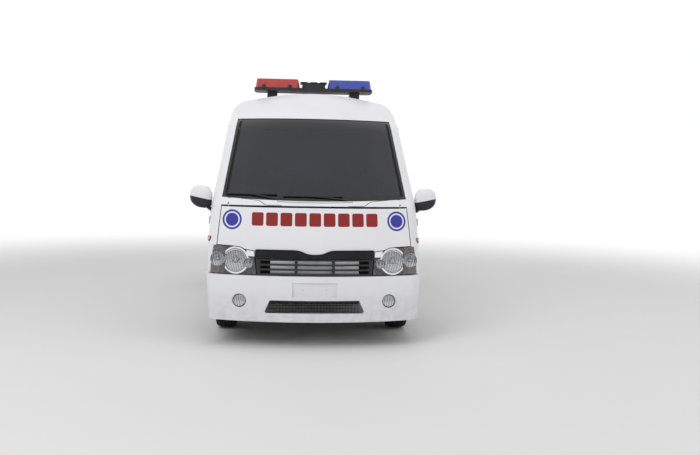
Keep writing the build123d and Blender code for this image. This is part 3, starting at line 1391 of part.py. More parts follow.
with BuildPart() as stretcher_mattress:
    with BuildSketch(Plane.YZ.offset(STRETCHER_X - STRETCHER_HALF + 20)):
        with BuildLine():
            Polyline(
                (STRETCHER_FRONT_Y + 10, STRETCHER_TOP + FIT_GAP + 170),
                (STRETCHER_FRONT_Y + 690, STRETCHER_TOP + FIT_GAP),
                (STRETCHER_BACK_Y - 10, STRETCHER_TOP + FIT_GAP),
                (STRETCHER_BACK_Y - 10, STRETCHER_TOP + 75),
                (STRETCHER_FRONT_Y + 700, STRETCHER_TOP + 75),
                (STRETCHER_FRONT_Y + 10, STRETCHER_TOP + 245),
                close=True,
            )
        make_face()
    extrude(amount=2 * STRETCHER_HALF - 40)
save(stretcher_mattress.part, "stretcher_mattress")

BENCH_FRONT_Y = SLIDER_REAR_Y + 155
BENCH_BACK_Y = STRETCHER_BACK_Y
BENCH_IN_X = 430
BENCH_TOP = 1000
BENCH_CUSHION = 70
with BuildPart() as bench_base:
    add(cuboid(BENCH_IN_X, BENCH_IN_X + 20, BENCH_FRONT_Y, BENCH_BACK_Y, deck_z, BENCH_TOP))
    add(cuboid(BENCH_IN_X, 880, BENCH_FRONT_Y, BENCH_BACK_Y, BENCH_TOP - 25, BENCH_TOP))
    add(cuboid(BENCH_IN_X, 880, BENCH_FRONT_Y, BENCH_FRONT_Y + 20, deck_z, BENCH_TOP))
    add(cuboid(BENCH_IN_X, 880, BENCH_BACK_Y - 20, BENCH_BACK_Y, deck_z, BENCH_TOP))
    add(INTERIOR, mode=Mode.INTERSECT)
save(bench_base.part, "bench_base")
bench_pad_ys = (BENCH_FRONT_Y + 10, BENCH_BACK_Y - 10)
bench_pad_top = BENCH_TOP + BENCH_CUSHION
save(
    cuboid(BENCH_IN_X + 5, 850, *bench_pad_ys, BENCH_TOP + FIT_GAP, bench_pad_top), "bench_cushion"
)
CABINET_IN_X = -600
CABINET_TOP = 1160
with BuildPart() as medical_cabinet:
    add(cuboid(-900, CABINET_IN_X, partition_back_y, SLIDER_REAR_Y + 955, deck_z, CABINET_TOP))
    add(INTERIOR, mode=Mode.INTERSECT)
    for z in (800, 920, 1040):
        add(
            cuboid(CABINET_IN_X - 8, CABINET_IN_X, partition_back_y + 40, SLIDER_REAR_Y + 915, z, z + 8),
            mode=Mode.SUBTRACT,
        )
save(medical_cabinet.part, "medical_cabinet")

# Door mirrors
MIRROR_IN_X = 925
MIRROR_OUT_X = 1130
MIRROR_Y = DOOR_FRONT_Y + 105
MIRROR_LOW = 1158
MIRROR_HIGH = 1362
with BuildPart() as mirror_left:
    with BuildSketch(Plane.XZ.offset(-(MIRROR_Y + 45))):
        with BuildLine():
            FilletPolyline(
                (MIRROR_IN_X, MIRROR_LOW),
                (MIRROR_OUT_X - 12, MIRROR_LOW + 12),
                (MIRROR_OUT_X, MIRROR_LOW + 110),
                (MIRROR_OUT_X - 40, MIRROR_HIGH),
                (MIRROR_IN_X + 20, MIRROR_HIGH),
                radius=[20, 30, 70, 55, 45],
                close=True,
            )
        make_face()
    extrude(amount=90)
    fillet(mirror_left.faces().sort_by(Axis.Y)[0].edges(), radius=22)
    mirror_foot = (890, MIRROR_Y + 50, MIRROR_LOW - 22)
    add(strut((MIRROR_IN_X + 50, MIRROR_Y + 10, MIRROR_LOW + 14), mirror_foot, 50, 26))
    add(FORM[0], mode=Mode.SUBTRACT)
save(mirror_left.part, "mirror_left")
with BuildPart() as mirror_right:
    mirror(mirror_left.part, about=Plane.YZ)
save(mirror_right.part, "mirror_right")

# Light bar on the roof: black base with two coloured domes
BAR_Y = FRONT_Y + 1590
BAR_HALF = 600
BAR_Z = 2320
with BuildPart() as light_bar_base:
    with BuildSketch(Plane.XY.offset(BAR_Z)):
        with Locations((0, BAR_Y)):
            RectangleRounded(2 * BAR_HALF, 300, 60)
    extrude(amount=30)
    for x in (-420, 420):
        add(cuboid(x - 50, x + 50, BAR_Y - 60, BAR_Y + 60, 2200, BAR_Z))
    with BuildSketch(Plane.XY.offset(BAR_Z + 30)):
        with Locations((0, BAR_Y)):
            Rectangle(240, 220)
    extrude(amount=60, taper=8)
    add(FORM[0], mode=Mode.SUBTRACT)
save(light_bar_base.part, "light_bar_base")
with BuildPart() as dome:
    with BuildSketch(Plane.XY.offset(BAR_Z + 30)):
        with Locations((BAR_HALF / 2 + 65, BAR_Y)):
            RectangleRounded(BAR_HALF - 150, 270, 50)
    extrude(amount=88, taper=10)
save(dome.part, "light_bar_blue")
with BuildPart() as red_dome:
    mirror(dome.part, about=Plane.YZ)
save(red_dome.part, "light_bar_red")


def screen_point(x, z, lift):
    """Point above the windscreen's outer face."""
    rise = SCREEN_HEAD[1] - SCREEN_FOOT[1]
    run = SCREEN_HEAD[0] - SCREEN_FOOT[0]
    slant = math.hypot(rise, run)
    centre_setback = chain_value([SCREEN_FOOT, SCREEN_HEAD], z)
    radius = NOSE_PLAN_RADIUS - centre_setback
    around = math.asin(x / radius)
    out = lift * rise / slant
    return (
        x + out * math.sin(around),
        NOSE_AXIS_Y - (radius + out) * math.cos(around),
        z + lift * run / slant,
    )


# Wipers: pivot, arm and a blade in two runs along the glass base
# Pivot x, blade centre x, blade half length
WIPERS = [
    (-330, -560, 235),
    (270, -20, 260),
]
PIVOT_RADIUS = 11
PIVOT_Z = 1232
BLADE_Z = SCREEN_BASE_Z - 8
with BuildPart() as wipers:
    for pivot_x, blade_x, blade_half in WIPERS:
        pivot = screen_point(pivot_x, PIVOT_Z, 12)
        foot = screen_point(pivot_x, PIVOT_Z, -8)
        middle = screen_point(blade_x, BLADE_Z, 12)
        add(rod(foot, pivot, PIVOT_RADIUS))
        add(strut(pivot, middle, 10, 8))
        for end_x in (blade_x - blade_half, blade_x + blade_half):
            add(strut(middle, screen_point(end_x, BLADE_Z, 9), 12, 8))
    add(FORM[0], mode=Mode.SUBTRACT)
save(wipers.part, "wipers")
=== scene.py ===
"""Looks of a high-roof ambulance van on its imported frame: finishes, fittings, soft furnishing and studio.

Metres. The front faces -Y, +X is the vehicle's left, +Z is up, and the ground is z = 0.
"""

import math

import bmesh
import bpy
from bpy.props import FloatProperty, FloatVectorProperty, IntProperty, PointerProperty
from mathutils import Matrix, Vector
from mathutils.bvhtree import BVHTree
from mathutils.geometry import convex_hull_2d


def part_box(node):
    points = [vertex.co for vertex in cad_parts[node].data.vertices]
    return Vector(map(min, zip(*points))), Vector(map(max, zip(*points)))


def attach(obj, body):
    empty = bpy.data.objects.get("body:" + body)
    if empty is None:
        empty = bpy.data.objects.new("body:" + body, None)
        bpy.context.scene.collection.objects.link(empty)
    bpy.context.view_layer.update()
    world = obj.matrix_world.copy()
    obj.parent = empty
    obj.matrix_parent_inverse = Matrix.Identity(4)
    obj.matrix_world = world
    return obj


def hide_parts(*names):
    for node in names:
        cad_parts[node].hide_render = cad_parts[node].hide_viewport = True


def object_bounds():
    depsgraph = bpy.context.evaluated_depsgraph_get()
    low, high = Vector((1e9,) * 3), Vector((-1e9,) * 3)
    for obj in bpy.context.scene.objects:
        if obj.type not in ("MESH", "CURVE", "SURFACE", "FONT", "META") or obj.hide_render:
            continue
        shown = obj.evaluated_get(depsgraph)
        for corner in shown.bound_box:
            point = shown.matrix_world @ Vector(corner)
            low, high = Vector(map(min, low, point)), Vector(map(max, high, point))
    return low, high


bl_info = {
    "name": "Ambulance Van",
    "version": (1, 0, 0),
    "blender": (4, 5, 0),
    "location": "View3D > Sidebar > Ambulance",
    "description": "Dresses the packed ambulance van with finishes, fittings and furnishing",
    "category": "Object",
}

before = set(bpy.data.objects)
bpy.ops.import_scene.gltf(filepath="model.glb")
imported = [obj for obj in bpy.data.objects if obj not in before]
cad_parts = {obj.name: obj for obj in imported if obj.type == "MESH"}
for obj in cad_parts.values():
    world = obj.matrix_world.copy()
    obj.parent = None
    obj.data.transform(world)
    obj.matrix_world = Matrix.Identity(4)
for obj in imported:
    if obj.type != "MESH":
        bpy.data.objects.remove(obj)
CAD_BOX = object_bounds()

UP = Vector((0, 0, 1))
BACKWARDS = Vector((0, 1, 0))
ENDS = ("front_left", "front_right", "rear_left", "rear_right")
SIDES = ((1, "left"), (-1, "right"))
SHARP_ANGLE = math.radians(35)

# Windscreen opening seen from the front
SCREEN_BASE_HALF = 0.806
SCREEN_TOP_HALF = 0.722
SCREEN_BASE_Z = 1.290
SCREEN_TOP_Z = 1.990
SCREEN_DIP = 0.032
GLASS_LAP = 0.012


# Shader building

def arithmetic(operation, swapped=False):
    """Method of a channel that puts it and one more value into a Math node."""
    def method(self, other):
        return self.math(operation, *((other, self) if swapped else (self, other)))

    return method


class Channel:
    """A socket of a node tree. Arithmetic on it adds Math nodes."""

    def __init__(self, nodes, socket):
        self.nodes = nodes
        self.socket = socket

    def math(self, operation, *values):
        """Result of a Math node on these values."""
        return self.nodes.node("ShaderNodeMath", {"operation": operation}, dict(enumerate(values)))

    __add__ = arithmetic("ADD")
    __radd__ = arithmetic("ADD", swapped=True)
    __sub__ = arithmetic("SUBTRACT")
    __rsub__ = arithmetic("SUBTRACT", swapped=True)
    __mul__ = arithmetic("MULTIPLY")
    __rmul__ = arithmetic("MULTIPLY", swapped=True)
    __truediv__ = arithmetic("DIVIDE")
    __pow__ = arithmetic("POWER")
    __mod__ = arithmetic("FLOORED_MODULO")
    __gt__ = arithmetic("GREATER_THAN")
    __lt__ = arithmetic("LESS_THAN")
    larger = arithmetic("MAXIMUM")
    smaller = arithmetic("MINIMUM")

    def __abs__(self):
        return self.math("ABSOLUTE", self)

    def sine(self):
        """Sine of the value in radians."""
        return self.math("SINE", self)

    def ribs(self, scale):
        """Upright halves of a wave, from 0 to 1."""
        return abs((self * scale).sine())

    def between(self, low, high):
        """1 between two values and 0 outside them."""
        return (self > low) * (self < high)

    def ramp(self, low, high):
        """0 below low, 1 above high and smooth between; low may be the greater."""
        values = {"Value": self, "From Min": low, "From Max": high}
        return self.nodes.node("ShaderNodeMapRange", {"interpolation_type": "SMOOTHSTEP"}, values)


class Nodes:
    """The node tree of a material or a world."""

    def __init__(self, owner):
        owner.use_nodes = True
        self.tree = owner.node_tree

    def node(self, kind, settings=None, values=None, output=0):
        """One output of a new node; its settings go in before its values."""
        node = self.tree.nodes.new(kind)
        for name, value in (settings or {}).items():
            setattr(node, name, value)
        for key, value in (values or {}).items():
            self.put(value, node.inputs[key])
        return Channel(self, node.outputs[output])

    def put(self, value, socket):
        """Links a channel to an input, or sets its value."""
        if isinstance(value, Channel):
            self.tree.links.new(value.socket, socket)
        else:
            socket.default_value = value


class Look(Nodes):
    """A material with one Principled shader."""

    def __init__(self, name, **constants):
        self.material = bpy.data.materials.new(name)
        super().__init__(self.material)
        self.shader = self.tree.nodes["Principled BSDF"]
        self.wire(**constants)
        self.place = self.node("ShaderNodeTexCoord", output="Object")
        self.xyz = [self.part(self.place, axis) for axis in range(3)]

    def part(self, vector, axis):
        """One coordinate of a vector."""
        return self.node("ShaderNodeSeparateXYZ", values={0: vector}, output=axis)

    def facing(self, *axes):
        """Coordinates of the face's own normal."""
        normal = self.node("ShaderNodeTexCoord", output="Normal")
        return [self.part(normal, axis) for axis in axes]

    def mix(self, mask, under, over):
        """Colour over another by a mask."""
        return self.node("ShaderNodeMix", {"data_type": "RGBA"}, {0: mask, 6: under, 7: over}, 2)

    def noise(self, scale, detail=3.0, roughness=0.55, stretch=None):
        """Noise from 0 to 1, drawn out along axes by a stretch."""
        place = self.place
        if stretch:
            place = self.node("ShaderNodeVectorMath", {"operation": "MULTIPLY"}, {0: place, 1: stretch})
        values = {"Vector": place, "Scale": scale, "Detail": detail, "Roughness": roughness}
        return self.node("ShaderNodeTexNoise", {}, values)

    def cells(self, scale, feature="F1"):
        """Distance to the nearest of scattered points."""
        values = {"Vector": self.place, "Scale": scale}
        return self.node("ShaderNodeTexVoronoi", {"feature": feature}, values)

    def bump(self, height, depth):
        """Surface relief of a height between 0 and 1."""
        return self.node("ShaderNodeBump", {}, {"Height": height, "Distance": depth})

    def wire(self, **inputs):
        """Inputs of the shader, by name with _ for a space."""
        for name, value in inputs.items():
            self.put(value, self.shader.inputs[name.replace("_", " ")])
        return self.material


def rgb(red, green, blue):
    """Opaque colour."""
    return (red, green, blue, 1.0)


def toned(colour, factor, lift=0.0):
    """Opaque colour made darker or paler."""
    return rgb(*[min(1.0, factor * part + lift) for part in colour[:3]])


def distance(first, second, centre):
    """Distance of a pair of coordinates from a centre."""
    return ((first - centre[0]) ** 2 + (second - centre[1]) ** 2) ** 0.5


DUST = rgb(0.33, 0.29, 0.24)
EDGE_RADIUS = 0.004


def edge_wear(look):
    """Mask of convex edges: where a bevelled normal leaves the true one."""
    rounded = look.node("ShaderNodeBevel", {"samples": 4}, {"Radius": EDGE_RADIUS})
    true = look.node("ShaderNodeNewGeometry", output="Normal")
    alike = look.node("ShaderNodeVectorMath", {"operation": "DOT_PRODUCT"}, {0: rounded, 1: true}, "Value")
    return alike.ramp(0.995, 0.85)


def road_dirt(look, colour, low, high):
    """Colour with dust and splashes that grow towards the ground, and their mask."""
    z = look.xyz[2]
    height = z + 0.12 * look.noise(7.0) - 0.06
    mask = height.ramp(high, low) * look.noise(38.0, 5.0, 0.7).ramp(0.30, 0.72)
    return look.mix(mask * 0.75, colour, DUST), mask


# Fog lamps of the front bumper: x, z, the radius of their bores, which are darkened inside as painted shade, and
# their depth along Y
FOG_LAMP = (0.640, 0.400)
FOG_BORE = 0.058
BORE_DEPTH = (-2.599, -2.4)

# Intake of the front bumper, inside which the paint is darkened as painted shade: half width, heights and depth along
# Y
INTAKE_HALF = 0.40
INTAKE_HEIGHTS = (0.28, 0.42)
INTAKE_DEPTH = (-2.650, -2.4)

# Where the markings lie: ahead of the nose line, and beyond a half width between two ends
NOSE_Y = -2.30
BLOCK_CORNER = 0.016
BAND_HALF = 0.84
BAND_ENDS = (-2.235, 2.56)


def body_paint(name):
    """White coach enamel under lacquer, with its blue and red markings, and painted shade inside the bumper's intake
    and fog lamp bores.
    """
    sizes = bpy.context.scene.ambulance_livery
    look = Look(name, Coat_Roughness=0.05, IOR=1.45, Specular_IOR_Level=0.32)
    x, y, z = look.xyz
    white = (*sizes.white, 1.0)
    shade = toned(sizes.white, 0.90)
    colour = look.mix(look.noise(1.7, 2.0).ramp(0.35, 0.75) * 0.35, white, shade)
    across = abs(x)
    facing = look.facing(0, 1)
    on_front = (y < NOSE_Y) * (facing[1] < -0.2)

    # A row of plain upright blocks with round corners on the bonnet
    pitch = 2 * sizes.row_half / sizes.row_blocks
    along = abs((x + sizes.row_half) % pitch - pitch / 2)
    up = abs(z - (sizes.row_low + sizes.row_high) / 2)
    past_side = (along - ((pitch - sizes.row_gap) / 2 - BLOCK_CORNER)).larger(0.0)
    past_top = (up - ((sizes.row_high - sizes.row_low) / 2 - BLOCK_CORNER)).larger(0.0)
    reach = (past_side * past_side + past_top * past_top) ** 0.5
    in_block = reach.ramp(BLOCK_CORNER + 0.0008, BLOCK_CORNER - 0.0008)
    in_row = in_block * (across < sizes.row_half) * on_front
    film_red = look.mix(look.noise(60.0).ramp(0.2, 0.9) * 0.4, (*sizes.red, 1.0), rgb(0.33, 0.035, 0.03))
    colour = look.mix(in_row, colour, film_red)

    # Roundels: a disc inside a ring
    from_centre = distance(across, z, (sizes.roundel_x, sizes.roundel_z))
    ring = sizes.roundel_radius
    disc = from_centre.ramp(ring * 0.66 + 0.001, ring * 0.66 - 0.001)
    rim = from_centre.ramp(ring + 0.001, ring - 0.001) * from_centre.ramp(ring * 0.8 - 0.001, ring * 0.8 + 0.001)
    in_roundel = (disc + rim) * on_front
    colour = look.mix(in_roundel, colour, (*sizes.blue, 1.0))

    # Band along the sides with a thin blue line under it
    on_side = (across > BAND_HALF) * y.between(*BAND_ENDS) * (facing[0] * x > 0.2)
    in_band = z.between(sizes.band_low, sizes.band_high) * on_side
    in_line = z.between(sizes.band_low - 0.045, sizes.band_low - 0.023) * on_side
    colour = look.mix(in_band, colour, film_red)
    colour = look.mix(in_line, colour, (*sizes.blue, 1.0))
    film = (in_row + in_roundel + in_band + in_line).smaller(1.0)

    # Fine streaks under the windows, and grey-brown patches that make the paint darker towards the bottom
    streak = look.noise(9.0, 4.0, 0.6, (6.0, 6.0, 0.35)).ramp(0.52, 0.78) * z.ramp(1.35, 0.5) * 0.10
    colour = look.mix(streak, colour, rgb(0.55, 0.54, 0.52))
    splash = z + 0.10 * look.noise(3.0)
    dirt = splash.ramp(0.62, 0.26) * look.noise(16.0, 6.0, 0.6).ramp(0.25, 0.75) * 0.42
    colour = look.mix(dirt, colour, rgb(0.46, 0.43, 0.39))

    # Painted shade: the paint is darkened inside the intake and the fog lamp bores of the front bumper
    in_intake = (across < INTAKE_HALF) * z.between(*INTAKE_HEIGHTS) * y.between(*INTAKE_DEPTH)
    in_bore = (distance(across, z, FOG_LAMP) < FOG_BORE + 0.0004) * y.between(*BORE_DEPTH)
    painted_recess_shade = (in_intake + in_bore).smaller(1.0)
    colour = look.mix(painted_recess_shade, colour, rgb(0.02, 0.02, 0.021))
    peel = look.noise(420.0, 2.0)
    relief = peel * 0.25 + film * 0.9 + dirt * look.noise(220.0) * 0.5
    return look.wire(
        Base_Color=colour,
        Roughness=0.28 + 0.1 * look.noise(5.0) + film * 0.12 + painted_recess_shade * 0.3 + dirt * 0.3,
        Coat_Weight=(0.35 - film * 0.35 - dirt * 0.35 - painted_recess_shade * 0.35).larger(0.0),
        Normal=look.bump(relief, 0.00018),
    )


def pane_look(name, tint, alpha, frit=None):
    """Tinted glass with faint film and dust; frit gives a mask of its black printed edge."""
    look = Look(name, IOR=1.5, Specular_IOR_Level=0.5)
    film = look.noise(3.0, 4.0).ramp(0.35, 0.8)
    colour = look.mix(film * 0.4, tint, toned(tint, 1.4, 0.006))
    rough = 0.015 + film * 0.03
    see = alpha + film * 0.04
    if frit:
        black = frit(look)
        colour = look.mix(black, colour, rgb(0.006, 0.006, 0.007))
        rough = rough + black * 0.06
        see = see + black
    return look.wire(Base_Color=colour, Roughness=rough, Alpha=see.smaller(1.0))


def screen_frit(look):
    """Black edge of the windscreen: sides, top and a strip above the wipers."""
    x, _, z = look.xyz
    slope = (SCREEN_TOP_HALF - SCREEN_BASE_HALF) / (SCREEN_TOP_Z - SCREEN_BASE_Z)
    edge = SCREEN_BASE_HALF + (z - SCREEN_BASE_Z) * slope
    dip = SCREEN_DIP * (1.0 - (x / SCREEN_BASE_HALF) ** 2.0)
    sides = (abs(x) - edge).ramp(-0.036, -0.034)
    head = (z + dip).ramp(SCREEN_TOP_Z - 0.075, SCREEN_TOP_Z - 0.073)
    foot = (z + dip).ramp(SCREEN_BASE_Z + 0.026, SCREEN_BASE_Z + 0.024)
    return sides.larger(head).larger(foot)


def plain_plastic(name, colour, roughness, grain, relief=0.0003):
    """Moulded plastic with a leathery grain, rubbed edges and a little dust."""
    look = Look(name, Coat_Roughness=0.08, Specular_IOR_Level=0.3)
    pebble = look.cells(grain).ramp(0.1, 0.7)
    worn = edge_wear(look)
    faded = toned(colour, 1.7, 0.02)
    mottled = look.mix(look.noise(6.0, 4.0).ramp(0.3, 0.8) * 0.35, colour, faded)
    mottled = look.mix(worn * 0.45, mottled, faded)
    mottled, dirt = road_dirt(look, mottled, 0.1, 0.42)
    rough = roughness + 0.12 * (look.noise(14.0) - 0.5) - worn * 0.1 + dirt * 0.2
    return look.wire(Base_Color=mottled, Roughness=rough, Normal=look.bump(pebble, relief))


def rubber_seal(name):
    """Black extruded rubber with dust in it."""
    look = Look(name, Specular_IOR_Level=0.15)
    grey = look.noise(24.0, 5.0).ramp(0.35, 0.8)
    colour = look.mix(grey * 0.4, rgb(0.008, 0.008, 0.009), rgb(0.032, 0.032, 0.031))
    return look.wire(Base_Color=colour, Roughness=0.62 + 0.2 * grey, Normal=look.bump(look.noise(500.0), 0.0002))


def tyre_rubber(name):
    """Dark rubber with dust and fine ribs."""
    look = Look(name, Specular_IOR_Level=0.25)
    dust = look.noise(22.0, 5.0, 0.65).ramp(0.38, 0.75)
    colour = look.mix(dust * 0.4, rgb(0.014, 0.014, 0.014), rgb(0.060, 0.057, 0.052))
    ribs = (look.xyz[0] * 2600.0).sine() * 0.5
    relief = look.noise(260.0, 4.0) * 0.8 + ribs * 0.15
    return look.wire(Base_Color=colour, Roughness=0.72 + dust * 0.2, Normal=look.bump(relief, 0.0005))


def metal_look(name, colour, roughness, grain, rust=0.0, metallic=1.0, flake=0.0):
    """Bare or plated metal with brushed grain, dull patches and rust by amount."""
    look = Look(name)
    patch = look.noise(9.0, 5.0, 0.6).ramp(0.35, 0.78)
    fine = look.noise(grain, 3.0, 0.6)
    dull = toned(colour, 0.62)
    tone = look.mix(patch * 0.6, colour, dull)
    spots = look.noise(26.0, 6.0, 0.7).ramp(0.66 - 0.2 * rust, 0.78) * rust
    tone = look.mix(spots, tone, rgb(0.19, 0.075, 0.028))
    tone, dirt = road_dirt(look, tone, 0.12, 0.5)
    rough = roughness + 0.18 * patch + 0.12 * fine + spots * 0.3 + dirt * 0.3
    relief = fine + spots * 1.5 + look.noise(120.0) * flake
    return look.wire(
        Base_Color=tone,
        Roughness=rough,
        Metallic=(metallic - spots - dirt * 0.8).larger(0.0),
        Normal=look.bump(relief, 0.0004),
    )


def reflector(name):
    """Plated lamp bowl with fine upright flutes, striped dark along them as painted shade."""
    look = Look(name, Metallic=1.0)
    x, _, z = look.xyz
    flutes = (abs(x) * 430.0 + z * 60.0).sine()
    # Painted shade: the plated colour is striped dark along the flutes
    colour = look.mix(flutes.ramp(-0.7, 0.8) * 0.72, rgb(0.66, 0.67, 0.70), rgb(0.10, 0.104, 0.112))
    haze = look.noise(30.0).ramp(0.4, 0.85) * 0.06
    return look.wire(Base_Color=colour, Roughness=0.06 + haze, Normal=look.bump(flutes * 0.4, 0.0012))


def mirror_glass(name):
    """Silvered glass of the door mirrors."""
    look = Look(name, Metallic=1.0)
    smear = look.noise(18.0, 4.0, 0.6, (1.0, 1.0, 0.3)).ramp(0.45, 0.9)
    colour = look.mix(smear * 0.25, rgb(0.80, 0.84, 0.86), rgb(0.58, 0.60, 0.62))
    return look.wire(Base_Color=colour, Roughness=0.015 + smear * 0.1)


def lamp_inside(name):
    """Headlamp bowls: plated round the lamps, with painted shade between them and in a thin ring round the main bowl,
    brown behind the outer indicator.
    """
    sizes = bpy.context.scene.ambulance_lamps
    look = Look(name, Coat_Weight=0.5, Coat_Roughness=0.05)
    x, _, z = look.xyz
    across = abs(x)
    haze = look.noise(30.0).ramp(0.3, 0.8) * 0.12
    plated = rgb(0.86, 0.87, 0.90)
    colour = look.mix(haze, plated, rgb(0.5, 0.51, 0.54))
    out_x = sizes.main_x + sizes.main_radius
    bezel = across.ramp(out_x - 0.004, out_x - 0.002) * across.ramp(out_x + 0.014, out_x + 0.012)
    indicator = across.ramp(out_x + 0.012, out_x + 0.014)
    brown = look.mix((z * 700.0).sine().ramp(-0.4, 0.6), rgb(0.045, 0.025, 0.018), rgb(0.095, 0.050, 0.032))
    colour = look.mix(indicator, colour, brown)
    colour = look.mix(bezel, colour, rgb(0.012, 0.012, 0.013))
    # Painted shade: dark between the bowls and in a thin ring round the main bowl
    from_main = distance(across, z, (sizes.main_x, sizes.main_z))
    far = from_main.ramp(sizes.main_radius + 0.020, sizes.main_radius + 0.023)
    wedge = across.ramp(0.588, 0.584) * z.ramp(sizes.main_z + 0.035, sizes.main_z + 0.040)
    shade = (far * across.ramp(out_x, out_x - 0.002) * (1.0 - wedge)).larger(
        from_main.ramp(sizes.main_radius + 0.001, sizes.main_radius + 0.002)
        * from_main.ramp(sizes.main_radius + 0.008, sizes.main_radius + 0.006)
    )
    colour = look.mix(shade, colour, rgb(0.030, 0.031, 0.034))
    flutes = (across * 520.0).sine() * 0.5 + 0.5
    outer = across.ramp(sizes.main_x + 0.045, sizes.main_x + 0.055)
    return look.wire(
        Base_Color=colour,
        Metallic=1.0 - (indicator + bezel).smaller(1.0),
        Roughness=0.07 + haze + shade * 0.2,
        Normal=look.bump(flutes * outer * (1.0 - shade), 0.0022),
    )


def lamp_lens(name):
    """Clear moulded headlamp cover with fine nicks."""
    look = Look(name, IOR=1.49, Specular_IOR_Level=0.6)
    nicks = look.noise(260.0, 3.0).ramp(0.6, 0.75)
    colour = look.mix(nicks * 0.5, rgb(0.50, 0.52, 0.55), rgb(0.66, 0.67, 0.68))
    return look.wire(Base_Color=colour, Roughness=0.02 + nicks * 0.12, Alpha=0.10 + nicks * 0.06)


# Edges of the tail lamp's parts as shares of its height, and its red, amber and clear as (deep, bright)
TAIL_EDGES = (0.24, 0.43, 0.62)
TAIL_COLOURS = (
    (rgb(0.42, 0.008, 0.008), rgb(0.60, 0.02, 0.015)),
    (rgb(0.75, 0.20, 0.01), rgb(0.85, 0.28, 0.02)),
    (rgb(0.55, 0.55, 0.56), rgb(0.7, 0.7, 0.72)),
)


def tail_lamp_lens(name):
    """Tail lamp: red above and below an amber indicator and a clear reversing lamp, all ribbed."""
    sizes = bpy.context.scene.ambulance_lamps
    look = Look(name, Coat_Weight=0.7, Coat_Roughness=0.03, Roughness=0.18)
    x, _, z = look.xyz
    edges = [sizes.tail_low + part * (sizes.tail_high - sizes.tail_low) for part in TAIL_EDGES]
    red, amber, clear = (look.mix(look.noise(40.0).ramp(0.3, 0.8), *pair) for pair in TAIL_COLOURS)
    colour = look.mix(z.between(*edges[:2]), red, clear)
    colour = look.mix(z.between(*edges[1:]), colour, amber)
    seam = abs(z - edges[0]).smaller(abs(z - edges[1])).smaller(abs(z - edges[2])).ramp(0.0035, 0.002)
    colour = look.mix(seam, colour, rgb(0.02, 0.005, 0.005))
    ribs = x.ribs(900.0) * 0.6 + z.ribs(900.0) * 0.4
    return look.wire(
        Base_Color=colour,
        Roughness=0.12 + 0.1 * look.noise(20.0),
        Normal=look.bump(ribs * (1.0 - seam), 0.0012),
    )


def dome_look(name, deep, bright):
    """Coloured dome of the light bar, with upright ribs moulded inside that are painted brighter as painted light."""
    look = Look(name, Coat_Weight=0.8, Coat_Roughness=0.03)
    x, _, z = look.xyz
    ribs = x.ribs(300.0) * (1.0 - z.ramp(2.425, 2.432))
    # Painted light: brighter colour along the ribs, with random tone from noise
    rib_light_and_tone = ribs * 0.5 + look.noise(16.0, 3.0).ramp(0.3, 0.8) * 0.3
    dust = look.noise(60.0, 4.0).ramp(0.5, 0.9) * z.ramp(2.40, 2.436) * 0.25
    colour = look.mix(dust, look.mix(rib_light_and_tone, deep, bright), rgb(0.4, 0.38, 0.36))
    return look.wire(Base_Color=colour, Roughness=0.13 + dust * 0.8, Normal=look.bump(ribs, 0.0015))


def amber_lens(name):
    """Amber plastic of the side repeaters, painted brighter on its ribs as painted light."""
    look = Look(name, Coat_Weight=0.7, Coat_Roughness=0.04)
    ribs = look.xyz[1].ribs(1500.0)
    # Painted light: the ribs are painted a brighter amber
    colour = look.mix(ribs * 0.5, rgb(0.62, 0.16, 0.01), rgb(0.85, 0.30, 0.02))
    return look.wire(Base_Color=colour, Roughness=0.14 + ribs * 0.06, Normal=look.bump(ribs, 0.0006))


def red_reflector(name):
    """Red reflector with a prism grid, painted brighter on the prisms as painted glints."""
    look = Look(name, Coat_Weight=0.8, Coat_Roughness=0.04)
    x, _, z = look.xyz
    prisms = x.ribs(1100.0) * z.ribs(1100.0)
    # Painted glints: the prisms are painted a brighter red
    colour = look.mix(prisms, rgb(0.32, 0.006, 0.006), rgb(0.66, 0.03, 0.02))
    return look.wire(Base_Color=colour, Roughness=0.12 + prisms * 0.1, Normal=look.bump(prisms, 0.0008))


# Rear axle seen from the side (y, z) and the radius of the wheel arches
REAR_AXLE = (1.430, 0.347)
ARCH_RADIUS = 0.405


def floor_look(name, base, speck, ribs):
    """Sheet vinyl floor with specks, scuffs and dirt, ribbed along the vehicle by amount."""
    look = Look(name)
    specks = look.cells(260.0).ramp(0.28, 0.14)
    scuffs = look.noise(11.0, 6.0, 0.7).ramp(0.52, 0.8)
    colour = look.mix(specks * 0.7, base, speck)
    colour = look.mix(scuffs * 0.35, colour, rgb(0.10, 0.095, 0.09))
    rib = look.xyz[0].ribs(260.0) * ribs
    upright, = look.facing(2)
    _, y, z = look.xyz
    under = (upright < -0.4).larger(distance(y, z, REAR_AXLE) < ARCH_RADIUS + 0.004)
    road_black = look.mix(look.noise(9.0, 5.0), rgb(0.012, 0.012, 0.012), rgb(0.045, 0.042, 0.038))
    colour = look.mix(under, colour, road_black)
    rough = 0.5 + scuffs * 0.2 + 0.1 * look.noise(30.0)
    return look.wire(Base_Color=colour, Roughness=rough, Normal=look.bump(rib + specks * 0.2, 0.0012))


def lining_board(name):
    """Pale laminate of cabinets and bench, with scratches and a few handling marks."""
    look = Look(name, Coat_Weight=0.15)
    worn = edge_wear(look)
    scratch = look.noise(14.0, 5.0, 0.7, (0.3, 1.0, 12.0)).ramp(0.6, 0.72) * 0.25
    colour = look.mix(look.noise(2.5).ramp(0.3, 0.8) * 0.3, rgb(0.66, 0.67, 0.66), rgb(0.60, 0.60, 0.58))
    colour = look.mix(scratch + worn * 0.4, colour, rgb(0.42, 0.41, 0.39))
    return look.wire(
        Base_Color=colour,
        Roughness=0.34 + scratch * 0.6 + 0.06 * look.noise(40.0),
        Normal=look.bump(look.noise(300.0) + scratch, 0.0001),
    )


